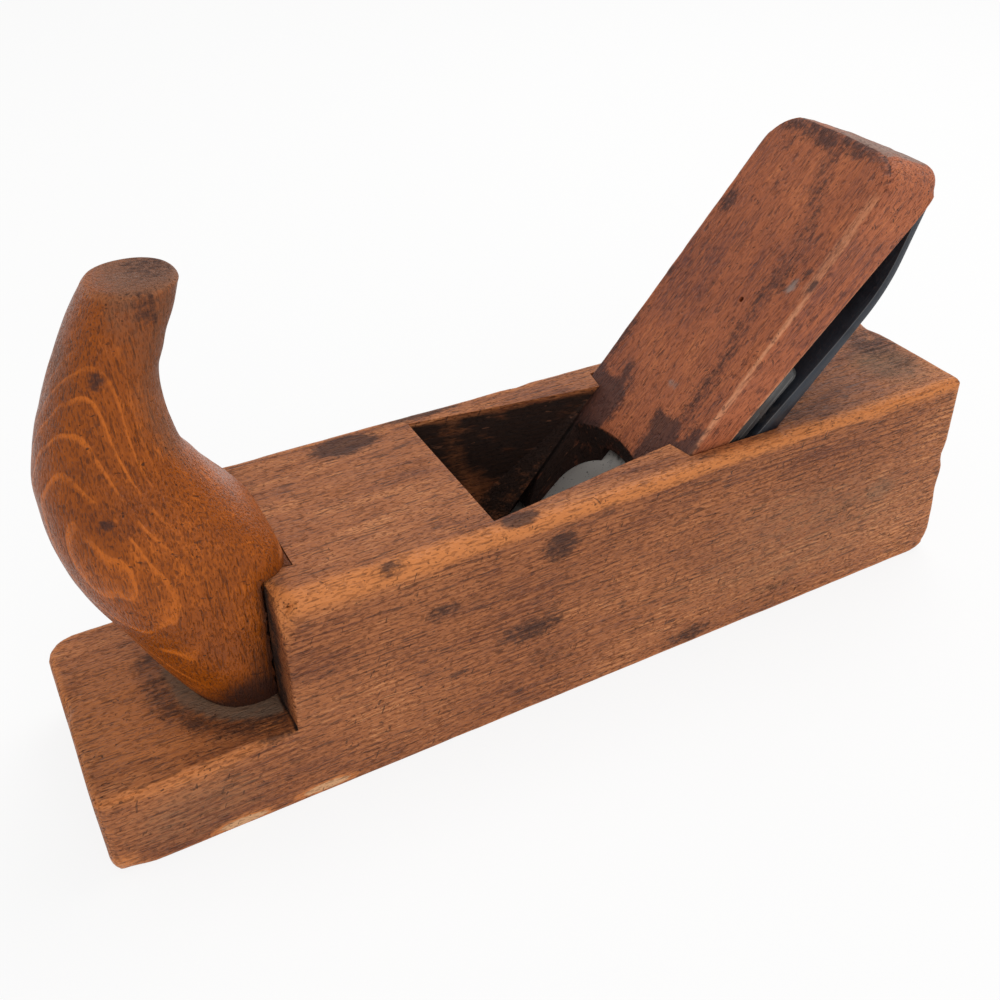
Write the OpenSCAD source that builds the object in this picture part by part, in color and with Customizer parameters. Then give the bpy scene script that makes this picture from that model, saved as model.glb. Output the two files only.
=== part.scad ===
// Wooden smoothing plane of the continental pattern: a stepped beech stock with a carved horn,
// a tapered blade with a bowed cap iron, and a forked wooden wedge that locks both in the throat.
// +X points to the heel, +Y to the right-hand cheek of the throat and +Z up.
// The origin is the centre of the sole.

/* [Stock] */
// Length of the stock, toe to heel
stock_len = 240; // [232:1:250]
// Width of the stock
stock_w = 58.5; // [57:0.5:62]
// Height of the stock behind the step
stock_h = 58; // [56:0.5:62]
// Length of the low toe platform
toe_len = 44; // [40:0.5:46]
// Height of the toe platform
toe_h = 22.5; // [20:0.5:26]
// Radius of the two upright corners at the toe
toe_corner_r = 5; // [3:0.5:12]
// Radius of the two upright corners at the heel
heel_corner_r = 1.2; // [0.6:0.1:4]
// Radius worn on the long top edges
top_edge_r = 2.5; // [1:0.5:3.5]
// Radius worn on the long bottom edges
sole_edge_r = 0.8; // [0.5:0.1:2]

/* [Throat] */
// Angle of the bed above the sole
bed_angle = 45; // [44:0.5:47]
// Where the bed meets the sole, measured from the middle of the stock
mouth_x = 1; // [-2:0.5:3]
// Front edge of the mouth on the sole
mouth_front_x = -7.6; // [-9:0.1:-7]
// Angle of the throat's front wall above the sole
throat_front_angle = 70; // [68:0.5:73]
// Front edge of the throat on the top
throat_front_x = -23.5; // [-28:0.5:-21]
// Corner of the abutments on the top
abutment_x = 31.1; // [30:0.1:32]
// Angle of the abutments above the sole
abutment_angle = 48; // [47:0.1:49]
// Width of the slot that guides blade, cap iron and wedge
slot_w = 48.2; // [48:0.1:49]
// Gap between the two abutments on the top
abutment_gap_top = 33; // [31:0.5:35]
// Gap between the two abutments at their feet
abutment_gap_foot = 30; // [28:0.5:33]
// How far the abutments' rear faces fall back from the wedge at their free edges
abutment_flare = 1.3; // [0:0.1:2]
// Height at which the abutments start to fade into the cheeks
abutment_foot_z = 24; // [20:0.5:28]
// Width of the groove in the bed that clears the screw's head
groove_w = 19; // [18:0.5:22]
// Depth of that groove
groove_depth = 6; // [5.5:0.5:8]
// Distance up the bed at which that groove ends
groove_start = 36; // [32:1:42]

/* [Horn] */
// Width of the dovetail at the face of the step
dovetail_neck_w = 30.6; // [28:0.2:32]
// Width of the dovetail at its back
dovetail_tail_w = 34; // [32:0.2:36]
// Depth of the dovetail socket in the step
dovetail_depth = 7.5; // [6:0.5:9]
// Play between the dovetail and its socket, taken up by glue
dovetail_play = 0.3; // [0.1:0.1:0.5]

/* [Blade] */
// Width of the blade
blade_w = 47.6; // [47:0.1:47.8]
// Thickness of the blade at its bit
bit_t = 4.8; // [4.4:0.1:5]
// Thickness of the blade at its drawn-down top end
top_t = 2.1; // [1.8:0.1:2.6]
// Distance up the bed of the blade's top end
blade_top = 154; // [148:1:158]
// Angle of the ground bevel
bevel_angle = 27; // [24:0.5:32]
// Width of the slot in the blade
blade_slot_w = 11; // [10:0.5:12]
// Diameter of the hole that lets the screw's head through
blade_eye_d = 20; // [18:0.5:22]

/* [Cap iron] */
// Width of the cap iron
cap_w = 45.6; // [44:0.2:47]
// Thickness of the cap iron's plate
cap_t = 3.4; // [3:0.1:3.8]
// Distance up the bed of the cap iron's top end
cap_top = 96; // [92:1:100]
// How far the cap iron's edge stands back from the cutting edge
cap_setback = 1.3; // [0.9:0.1:2.5]
// Diameter of the screw's thread
screw_d = 8; // [7:0.5:8]
// Diameter of the screw's head
head_d = 16; // [14:0.5:17]
// Distance of the screw up the bed
screw_s = 62; // [58:1:66]

/* [Wedge] */
// Width of the wedge
wedge_w = 46.8; // [46:0.1:47.6]
// Distance of the prong tips up the bed
prong_tip_s = 22; // [20:1:26]
// Radius of the arch between the prongs, on the cap iron's side
arch_r = 16; // [14:0.5:17]
// Radius of the two rounded corners of the head
head_corner_r = 10; // [6:0.5:12]

/* [Hidden] */
$fn = 64;

// Small distances
past = 1;            // how far a cutter runs past the face it cuts
slide_gap = 0.08;    // running clearance of sliding faces
thread_gap = 0.05;   // radial clearance of the screw in its nut

// Places that follow from the driving sizes
toe_x = -stock_len / 2;
heel_x = stock_len / 2;
step_x = toe_x + toe_len;
dovetail_back_x = step_x + dovetail_depth;
edge_z = 0.6;                                 // the cutting edge is drawn in above the sole
bit_top = slide_gap + bit_t;                  // height of the blade's face over the bed
edge_s = edge_z / sin(bed_angle) - bit_top / tan(bed_angle);
bit_end_s = 72;                               // the thick bit runs this far up the bed
neck_s = 108;                                 // from here the blade is drawn down thin
neck_t = 2.7;
shoulder_s = 126;                             // the blade's shoulders fall away from here
shoulder_drop = 8.4;
shoulder_r = 60;
top_corner_r = 6;
blade_slot_start = 44;
blade_eye_s = 112;

// The cap iron's outer face is the seat of the wedge: it drops slowly towards its top end
seat_slope = tan(2.1);
seat_s = 71.6;
seat_n = 10.05;
function cap_face(s) = seat_n - seat_slope * (s - seat_s);

// The wedge's front face lies against the abutments, a little clear of them
front_slope = tan(abutment_angle - bed_angle);
abutment_corner_s = along_bed(abutment_x, stock_h);
abutment_corner_n = above_bed(abutment_x, stock_h);
function wedge_face(s) = abutment_corner_n - slide_gap + front_slope * (s - abutment_corner_s);
function wedge_back(s) = cap_face(s) + slide_gap;

// A place in the side view, turned into a distance along and above the bed
function along_bed(x, z) = (x - mouth_x) * cos(bed_angle) + z * sin(bed_angle);
function above_bed(x, z) = z * cos(bed_angle) - (x - mouth_x) * sin(bed_angle);

// The walls of the throat in the side view
function bed_x(z) = mouth_x + z / tan(bed_angle);
function abutment_line_x(z) = abutment_x - (stock_h - z) / tan(abutment_angle);
front_run = 1 / tan(throat_front_angle);
abutment_run = 1 / tan(abutment_angle);
function front_wall_x(z) = throat_front_x + front_run * (stock_h - z);
abutment_end_z = stock_h - (abutment_x - throat_front_x) / (front_run + abutment_run);

// An outline whose corners are given as [x, y, radius]
arc_steps = 6;
function unit(v) = v / norm(v);
function point_of(corner) = [corner[0], corner[1]];
function corner_points(before, here, after, r) =
    let (to_before = unit(before - here), to_after = unit(after - here),
         half_angle = acos(to_before * to_after) / 2,
         centre = here + unit(to_before + to_after) * r / sin(half_angle),
         first = here + to_before * r / tan(half_angle) - centre,
         last = here + to_after * r / tan(half_angle) - centre)
    [for (i = [0:arc_steps]) centre + r * unit(first * (arc_steps - i) + last * i)];
function rounded(corners) =
    let (count = len(corners))
    [for (i = [0:count - 1])
        each corners[i][2] == 0
            ? [point_of(corners[i])]
            : corner_points(point_of(corners[(i + count - 1) % count]), point_of(corners[i]),
                            point_of(corners[(i + 1) % count]), corners[i][2])];

// A curve with two ends and one control point
curve_steps = 8;
function curve(start, control, end) =
    [for (i = [0:curve_steps])
        let (t = i / curve_steps)
        start * (1 - t) * (1 - t) + control * 2 * t * (1 - t) + end * t * t];

// A side-view outline given a width across the plane
module across(width) {
    rotate([90, 0, 0])
        linear_extrude(width, center = true)
            children();
}

// The frame of the bed: X runs up the bed and Z stands off it
module on_bed() {
    translate([mouth_x, 0, 0])
        rotate([0, -bed_angle, 0])
            children();
}

// The waste that rounds a long edge, lying along X with its corner at the origin
module edge_waste(r) {
    rotate([90, 0, 90])
        linear_extrude(stock_len + 2 * past, center = true)
            difference() {
                translate([-past, -past])
                    square(r + past);
                translate([r, r])
                    circle(r);
            }
}

module stock_edges() {
    for (side = [-1, 1]) {
        translate([0, side * stock_w / 2, stock_h])
            mirror([0, side > 0 ? 1 : 0, 0])
                mirror([0, 0, 1])
                    edge_waste(top_edge_r);
        translate([0, side * stock_w / 2, 0])
            mirror([0, side > 0 ? 1 : 0, 0])
                edge_waste(sole_edge_r);
    }
}

module stock_blank() {
    toe_nose_r = 2;
    heel_nose_r = 5;
    crest_r = 1.5;
    side = rounded([[toe_x, 0, toe_nose_r], [heel_x, 0, heel_nose_r], [heel_x, stock_h, crest_r],
                    [step_x, stock_h, crest_r], [step_x, toe_h, 0], [toe_x, toe_h, crest_r]]);
    half_w = stock_w / 2;
    plan = rounded([[toe_x, -half_w, toe_corner_r], [heel_x, -half_w, heel_corner_r],
                    [heel_x, half_w, heel_corner_r], [toe_x, half_w, toe_corner_r]]);
    intersection() {
        across(stock_w + 2 * past)
            polygon(side);
        linear_extrude(stock_h + past)
            polygon(plan);
    }
}

// One level of the opening in front of the abutments
module throat_slice(z, half_gap) {
    translate([0, 0, z])
        linear_extrude(0.01)
            polygon([[front_wall_x(z), -slot_w / 2], [abutment_line_x(z) + slide_gap, -half_gap],
                     [abutment_line_x(z) + slide_gap, half_gap], [front_wall_x(z), slot_w / 2]]);
}

// The slot is one full width from the bed to the abutments, and the opening in front of them
// is full width at its front wall and narrows to the gap between the abutments. Below their
// feet the front wall stands upright, so that the mouth keeps its size as the sole wears.
module throat() {
    over = stock_h + past;
    across(slot_w)
        polygon([[bed_x(-past), -past], [bed_x(over), over], [abutment_line_x(over), over],
                 [abutment_line_x(abutment_end_z), abutment_end_z], [mouth_front_x, 0],
                 [mouth_front_x, -past]]);
    hull() {
        throat_slice(over, abutment_gap_top / 2);
        throat_slice(abutment_foot_z, abutment_gap_foot / 2);
    }
    hull() {
        throat_slice(abutment_foot_z, abutment_gap_foot / 2);
        throat_slice(abutment_end_z, slot_w / 2);
    }
}

// The wedge bears on the root of each abutment, and its rear face falls back towards its free edge
module abutment_flares() {
    foot_clear = 3;
    run = (stock_h - abutment_end_z) / sin(abutment_angle) - foot_clear;
    free_edge = abutment_gap_foot / 2 - past;
    root = slot_w / 2 - 0.8;
    slope = abutment_flare * sin(abutment_angle) / (root - abutment_gap_top / 2);
    inside = 0.5;
    for (side = [0, 1])
        mirror([0, side, 0])
            translate([abutment_x, 0, stock_h])
                rotate([0, -abutment_angle, 0])
                    translate([-run, 0, 0])
                        rotate([90, 0, 90])
                            linear_extrude(run + 2 * past)
                                polygon([[root + inside, -slope * inside],
                                         [free_edge, slope * (root - free_edge)],
                                         [free_edge, -past], [root + inside, -past]]);
}

// Groove down the bed for the screw's head, open at the top of the stock
module head_groove() {
    on_bed()
        translate([groove_start + groove_w / 2, 0, -groove_depth]) {
            cylinder(d = groove_w, h = groove_depth + past);
            translate([0, -groove_w / 2, 0])
                cube([stock_h * 2, groove_w, groove_depth + past]);
        }
}

module dovetail(play, height) {
    neck = dovetail_neck_w / 2 - play;
    tail = dovetail_tail_w / 2 - play;
    back = dovetail_back_x - play;
    linear_extrude(height)
        polygon([[step_x - past, -neck], [step_x, -neck], [back, -tail],
                 [back, tail], [step_x, neck], [step_x - past, neck]]);
}

module plane_body() {
    color("sienna")
        difference() {
            stock_blank();
            stock_edges();
            throat();
            abutment_flares();
            head_groove();
            translate([0, 0, toe_h])
                dovetail(0, stock_h);
        }
}

// Levels of the horn: height, front, back, half width, and how square its back is.
// The hand bears on the hollow between the shoulder and the rounded end.
horn_levels = [
    [toe_h, -93, -68.5, 16.8, 2.3],
    [32, -98, -68.5, 18.6, 2.3],
    [45, -104, -68.5, 19.6, 3],
    [stock_h, -109.8, -68.5, 20.2, 4.5],
    [61, -110.7, -69.4, 20.1, 4.3],
    [66, -111.9, -72.3, 19.6, 3.6],
    [73, -112.9, -76.6, 18, 2.9],
    [80, -113, -80.2, 15.8, 2.4],
    [90, -111.2, -84.2, 13.1, 2.2],
    [100, -107.5, -85, 11.6, 2.2],
    [110, -102.6, -82.6, 10.8, 2.2],
    [117, -98.6, -79.4, 10.2, 2.2],
    [122, -95.1, -77.6, 9.3, 2.2]
];
horn_rings_between = 3;
horn_ring_points = 36;

// A smooth curve through four neighbouring levels
function blend(a, b, c, d, t) =
    0.5 * (2 * b + (c - a) * t + (2 * a - 5 * b + 4 * c - d) * t * t
           + (3 * b - a - 3 * c + d) * t * t * t);
function horn_level(i, t) =
    let (last = len(horn_levels) - 1)
    blend(horn_levels[max(i - 1, 0)], horn_levels[i], horn_levels[min(i + 1, last)],
          horn_levels[min(i + 2, last)], t);
function signed_power(v, p) = sign(v) * pow(abs(v), p);
function horn_ring(level) =
    let (middle = (level[1] + level[2]) / 2, half_depth = (level[2] - level[1]) / 2)
    [for (i = [0:horn_ring_points - 1])
        let (turn = 360 * i / horn_ring_points,
             bend = 2 / (cos(turn) > 0 ? level[4] : 2.2))
        [middle + half_depth * signed_power(cos(turn), bend),
         level[3] * signed_power(sin(turn), bend),
         level[0]]];

module horn_loft() {
    spans = len(horn_levels) - 1;
    rings = [for (i = [0:spans - 1], k = [0:horn_rings_between - 1])
                 horn_ring(horn_level(i, k / horn_rings_between)),
             horn_ring(horn_levels[spans])];
    end_inset = 1.6;
    end_lift = 0.9;
    end_ring = [for (p = rings[len(rings) - 1])
                   let (middle = [-86.4, 0, p[2]])
                   middle + (p - middle) * (1 - end_inset / 9) + [0, 0, end_lift]];
    all_rings = concat(rings, [end_ring]);
    n = horn_ring_points;
    top = len(all_rings) - 1;
    skin = [for (r = [0:top - 1], i = [0:n - 1])
               let (a = r * n + i, b = r * n + (i + 1) % n)
               each [[a, b + n, b], [a, a + n, b + n]]];
    bottom_face = [for (i = [0:n - 1]) i];
    top_face = [for (i = [n - 1:-1:0]) top * n + i];
    polyhedron(points = [for (ring = all_rings) each ring],
               faces = concat(skin, [bottom_face], [top_face]), convexity = 4);
}

// The horn: a carved grip whose shoulder laps over the step and whose tongue slides into it
module horn() {
    color("peru") {
        difference() {
            horn_loft();
            translate([step_x, -stock_w / 2, 0])
                cube([toe_len, stock_w, stock_h]);
        }
        translate([0, 0, toe_h])
            dovetail(dovetail_play, stock_h - toe_h);
    }
}

// The ground edge, the thick bit and the drawn-down tail of the blade, in the bed's frame
module blade_side() {
    bevel_run = bit_t / tan(bevel_angle);
    polygon([[edge_s, bit_top], [edge_s + bevel_run, slide_gap], [blade_top, slide_gap],
             [blade_top, slide_gap + top_t], [neck_s, slide_gap + neck_t], [bit_end_s, bit_top]]);
}

module blade_plan() {
    half_w = blade_w / 2;
    clipped = half_w - shoulder_drop;
    polygon(rounded([[edge_s - past, -half_w, 0], [shoulder_s, -half_w, shoulder_r],
                     [blade_top, -clipped, top_corner_r], [blade_top, clipped, top_corner_r],
                     [shoulder_s, half_w, shoulder_r], [edge_s - past, half_w, 0]]));
}

module blade_iron() {
    through = bit_top + past;
    color("slategray")
        on_bed()
            difference() {
                intersection() {
                    across(blade_w)
                        blade_side();
                    linear_extrude(through)
                        blade_plan();
                }
                translate([blade_slot_start, 0, -past])
                    cylinder(d = blade_slot_w, h = through + past);
                translate([blade_slot_start, -blade_slot_w / 2, -past])
                    cube([blade_eye_s - blade_slot_start, blade_slot_w, through + past]);
                translate([blade_eye_s, 0, -past])
                    cylinder(d = blade_eye_d, h = through + past);
            }
}

// The bowed cap iron: a sprung nose that bears on the blade, a hump, and a straight tail
module cap_side() {
    nose = [edge_s + cap_setback, bit_top + slide_gap];
    hump_s = 12;
    heel_land = 0.9;
    outer = curve(nose, [nose[0] + 6.5, cap_face(hump_s)], [hump_s, cap_face(hump_s)]);
    inner = curve([hump_s + 4, cap_face(hump_s + 4) - cap_t],
                  [nose[0] + 8.5, cap_face(hump_s) - cap_t], nose + [heel_land, 0]);
    polygon(concat(outer, [[cap_top, cap_face(cap_top)], [cap_top, cap_face(cap_top) - cap_t]],
                   inner));
}

module cap_plan() {
    half_w = cap_w / 2;
    corner_r = 2.5;
    polygon(rounded([[edge_s - past, -half_w, 0], [cap_top, -half_w, corner_r],
                     [cap_top, half_w, corner_r], [edge_s - past, half_w, 0]]));
}

nut_stem_d = 12;
nut_collar_d = 15;
nut_dome_d = 14;
nut_dome_h = 3;

module cap_iron() {
    color("dimgray")
        on_bed()
            difference() {
                intersection() {
                    across(cap_w)
                        cap_side();
                    linear_extrude(seat_n + groove_depth)
                        cap_plan();
                }
                translate([screw_s, 0, 0])
                    cylinder(d = nut_stem_d, h = seat_n + groove_depth);
            }
}

// A threaded nut riveted through the cap iron. Its collar holds the bowed plate off the blade.
module cap_iron_nut() {
    foot = bit_top + slide_gap;
    under_cap = cap_face(screw_s + nut_collar_d / 2) - cap_t - slide_gap;
    over_cap = cap_face(screw_s - nut_dome_d / 2) + slide_gap;
    bore_r = screw_d / 2 + thread_gap;
    chamfer = 1.2;
    color("darkgoldenrod")
        on_bed()
            translate([screw_s, 0, 0])
                rotate_extrude()
                    polygon([[bore_r, foot], [nut_collar_d / 2, foot], [nut_collar_d / 2, under_cap],
                             [nut_stem_d / 2, under_cap], [nut_stem_d / 2, over_cap],
                             [nut_dome_d / 2, over_cap],
                             [nut_dome_d / 2, over_cap + nut_dome_h - chamfer],
                             [nut_dome_d / 2 - chamfer, over_cap + nut_dome_h],
                             [bore_r, over_cap + nut_dome_h]]);
}

// The screw comes in from the bed's side. Its wide head bears on the back of the blade.
module cap_iron_screw() {
    head_t = 3;
    crown_t = 1.2;
    slot_t = 1.8;
    slot_depth = 1.9;
    tip = cap_face(screw_s) + nut_dome_h - slide_gap;
    color("gray")
        on_bed()
            translate([screw_s, 0, 0])
                difference() {
                    rotate_extrude()
                        polygon([[0, -head_t - crown_t], [head_d / 4, -head_t - crown_t * 0.8],
                                 [head_d / 2, -head_t], [head_d / 2, 0], [screw_d / 2, 0],
                                 [screw_d / 2, tip - past], [screw_d / 2 - past, tip], [0, tip]]);
                    translate([-slot_t / 2, -head_d, -head_t - crown_t - past])
                        cube([slot_t, 2 * head_d, past + slot_depth]);
                }
}

// The wedge's head is struck off at a flatter angle than its length
head_front_s = 150;
head_back_s = 157.7;

module wedge_side() {
    tip_t = 1.6;
    tip_run = 10;
    beyond = head_back_s + 10 * past;
    polygon([[prong_tip_s, wedge_back(prong_tip_s)], [beyond, wedge_back(beyond)],
             [beyond, wedge_face(beyond)],
             [prong_tip_s + tip_run, wedge_face(prong_tip_s + tip_run)],
             [prong_tip_s, wedge_back(prong_tip_s) + tip_t]]);
}

// The plan of the wedge, with the two rounded corners of its struck end
module wedge_plan() {
    reach = 160;
    half_w = wedge_w / 2;
    run = head_back_s - head_front_s;
    rise = wedge_face(head_front_s) - wedge_back(head_back_s);
    lean = atan2(run, rise);
    translate([head_back_s, 0, wedge_back(head_back_s)])
        rotate([0, -lean, 0])
            translate([0, 0, -reach])
                linear_extrude(2 * reach)
                    polygon(rounded([[-reach, -half_w, 0], [0, -half_w, head_corner_r],
                                     [0, half_w, head_corner_r], [-reach, half_w, 0]]));
}

// The arch between the prongs: narrow and round on the cap iron, wide and shallow in front,
// so that the shavings roll out past the wedge
module arch_slice(n, crown, leg, r) {
    half_turn = asin(leg / r);
    below = 12;
    translate([0, 0, n])
        linear_extrude(0.01)
            polygon(concat([for (i = [-arc_steps:arc_steps])
                                let (turn = i / arc_steps * half_turn)
                                [crown - r + r * cos(turn), r * sin(turn)]],
                           [[below, leg], [below, -leg]]));
}

module arch() {
    crown_back = 47.6;
    crown_front = 53.9;
    front_leg = 17;
    front_r = 37;
    hull() {
        arch_slice(wedge_back(crown_back) - 0.2, crown_back, arch_r, arch_r);
        arch_slice(wedge_face(crown_front) + 0.3, crown_front, front_leg, front_r);
    }
}

// Channel under the wedge that clears the nut on the cap iron
module nut_channel() {
    clear = 1;
    width = nut_dome_d + 2 * clear;
    depth = nut_dome_h + clear;
    translate([0, 0, 0])
        linear_extrude(cap_face(screw_s) + depth)
            union() {
                translate([screw_s, 0])
                    circle(d = width);
                translate([0, -width / 2])
                    square([screw_s, width]);
            }
}

module wedge() {
    color("firebrick")
        on_bed()
            difference() {
                intersection() {
                    across(wedge_w + 2 * past)
                        wedge_side();
                    wedge_plan();
                }
                arch();
                nut_channel();
            }
}

plane_body();
horn();
wedge();
blade_iron();
cap_iron();
cap_iron_nut();
cap_iron_screw();
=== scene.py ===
"""Looks of an old wooden smoothing plane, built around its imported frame.

Lengths are millimetres in the frame of the part's source. A piece is turned into metres when it is finished.
"""

import logging
import math
import random
from collections.abc import Callable, Iterable, Sequence
from dataclasses import dataclass
from enum import Enum
from typing import Any, Protocol, Self

import bmesh
import bpy
from mathutils import Matrix, Vector, noise


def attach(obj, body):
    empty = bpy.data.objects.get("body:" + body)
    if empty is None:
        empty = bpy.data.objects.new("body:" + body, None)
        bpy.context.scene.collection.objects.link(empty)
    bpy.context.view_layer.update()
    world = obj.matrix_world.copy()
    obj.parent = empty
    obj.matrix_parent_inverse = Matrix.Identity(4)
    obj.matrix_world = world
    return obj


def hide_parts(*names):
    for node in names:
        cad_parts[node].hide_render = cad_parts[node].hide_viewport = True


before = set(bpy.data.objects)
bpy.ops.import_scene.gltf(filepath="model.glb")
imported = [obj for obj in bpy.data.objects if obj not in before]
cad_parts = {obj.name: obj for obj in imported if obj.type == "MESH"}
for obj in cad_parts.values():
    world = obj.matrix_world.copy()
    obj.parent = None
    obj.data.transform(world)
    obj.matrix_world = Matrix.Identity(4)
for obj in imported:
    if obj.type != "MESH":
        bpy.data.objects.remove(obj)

log = logging.getLogger("hand_plane")

Tone = tuple[float, float, float]
Point2 = tuple[float, float]
Point3 = tuple[float, float, float]

MM = 0.001
BED_COS = math.cos(math.radians(45))
MOUTH_X = 1.0
# The running clearance between two pieces
GAP = 0.08
# Places nearer than SAME are one place, and a place less deep than ON_FACE is on the face
SAME = 1e-4
ON_FACE = 0.02
# From (along X, up, across) to the frame
ACROSS = Matrix(((1, 0, 0, 0), (0, 0, 1, 0), (0, 1, 0, 0), (0, 0, 0, 1)))
# From (up the bed, across, above the bed) to the frame
BED = Matrix(((BED_COS, 0, -BED_COS, MOUTH_X), (0, 1, 0, 0), (BED_COS, 0, BED_COS, 0), (0, 0, 0, 1)))


def tone(red: float, green: float, blue: float) -> Tone:
    """Turns a colour as a screen shows it, 0 to 255, into the linear colour that a shader takes.

    Args:
        red, green, blue: The shown channels.

    Returns:
        The linear colour.
    """
    return tuple(c / 12.92 if c <= 0.04045 else ((c + 0.055) / 1.055) ** 2.4
                 for c in (red / 255, green / 255, blue / 255))


def ease(value: float, low: float, high: float) -> float:
    """Rises smoothly from 0 at low to 1 at high, or falls where high lies below low."""
    share = min(1.0, max(0.0, (value - low) / (high - low)))
    return share * share * (3 - 2 * share)


def ripple(place: Vector, size: float, seed: float = 0.0) -> float:
    """Smooth noise from -1 to 1, with hills about size across and a seed that shifts it."""
    return noise.noise(place / size + Vector((seed, seed * 1.7, -seed)))


def bed_axes(place: Vector) -> tuple[float, float, float]:
    """Splits a place into its distance up the bed, across the plane and above the bed."""
    along, up = place.x - MOUTH_X, place.z
    return (along + up) * BED_COS, place.y, (up - along) * BED_COS


class Mark(Enum):
    """The numbers that a piece's mesh carries for its finish."""

    # Paler rubbed edges and splinters, with a painted highlight on some ridges and arrises
    WEAR = "wear"
    STAIN = "stain"
    # Grey dust, with a painted sheen on the horn's end and the heel's top
    DUST = "dust"
    # Grime, with painted shade in the throat, on the step and in the creases round the horn
    SOOT = "soot"
    FIGURE = "figure"


# ---- Node trees ----


class Socket:
    """A node's output that takes part in Python arithmetic."""

    def __init__(self, graph: "Graph", port: bpy.types.NodeSocket) -> None:
        """Keeps the output and the graph it belongs to."""
        self.graph = graph
        self.port = port

    def _math(self, operation: str, *terms: "Socket | float") -> "Socket":
        """Adds a Math node that works on the terms."""
        return self.graph.add("ShaderNodeMath", {"operation": operation}, dict(enumerate(terms)))

    def __add__(self, other: "Socket | float") -> "Socket":
        """Sum."""
        return self._math("ADD", self, other)

    def __radd__(self, other: float) -> "Socket":
        """Sum with a number on the left."""
        return self._math("ADD", other, self)

    def __sub__(self, other: "Socket | float") -> "Socket":
        """Difference."""
        return self._math("SUBTRACT", self, other)

    def __rsub__(self, other: float) -> "Socket":
        """Difference from a number on the left."""
        return self._math("SUBTRACT", other, self)

    def __mul__(self, other: "Socket | float") -> "Socket":
        """Product."""
        return self._math("MULTIPLY", self, other)

    def __rmul__(self, other: float) -> "Socket":
        """Product with a number on the left."""
        return self._math("MULTIPLY", other, self)

    def __truediv__(self, other: "Socket | float") -> "Socket":
        """Quotient."""
        return self._math("DIVIDE", self, other)

    def __rtruediv__(self, other: float) -> "Socket":
        """Quotient of a number on the left."""
        return self._math("DIVIDE", other, self)

    def __pow__(self, other: "Socket | float") -> "Socket":
        """Power."""
        return self._math("POWER", self, other)

    def __abs__(self) -> "Socket":
        """Size without its sign."""
        return self._math("ABSOLUTE", self)

    def sine(self) -> "Socket":
        """Sine of an angle in radians."""
        return self._math("SINE", self)

    def cosine(self) -> "Socket":
        """Cosine of an angle in radians."""
        return self._math("COSINE", self)

    def sign(self) -> "Socket":
        """Minus one, zero or one."""
        return self._math("SIGN", self)

    def part(self) -> "Socket":
        """What is left above the whole number."""
        return self._math("FRACT", self)

    def largest(self, other: "Socket | float") -> "Socket":
        """The larger of the two."""
        return self._math("MAXIMUM", self, other)

    def shaped(self, bend: "Socket | float") -> "Socket":
        """Raised to a power, with its sign kept and numbers near zero made zero."""
        return self.sign() * (abs(self) - 1e-4).largest(0.0) ** bend

    def swing(self, strength: float) -> "Socket":
        """Noise about 0.5 as noise about 0, with a strength."""
        return (self - 0.5) * strength

    def rise(self, low: float, high: float) -> "Socket":
        """Smooth step from 0 at low to 1 at high."""
        return self.graph.add("ShaderNodeMapRange", {"interpolation_type": "SMOOTHSTEP"},
                              {0: self, 1: low, 2: high, 3: 0.0, 4: 1.0})


class Handle(Enum):
    """How a drawn curve passes through its points."""

    SMOOTH = "AUTO_CLAMPED"
    STRAIGHT = "VECTOR"


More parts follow.
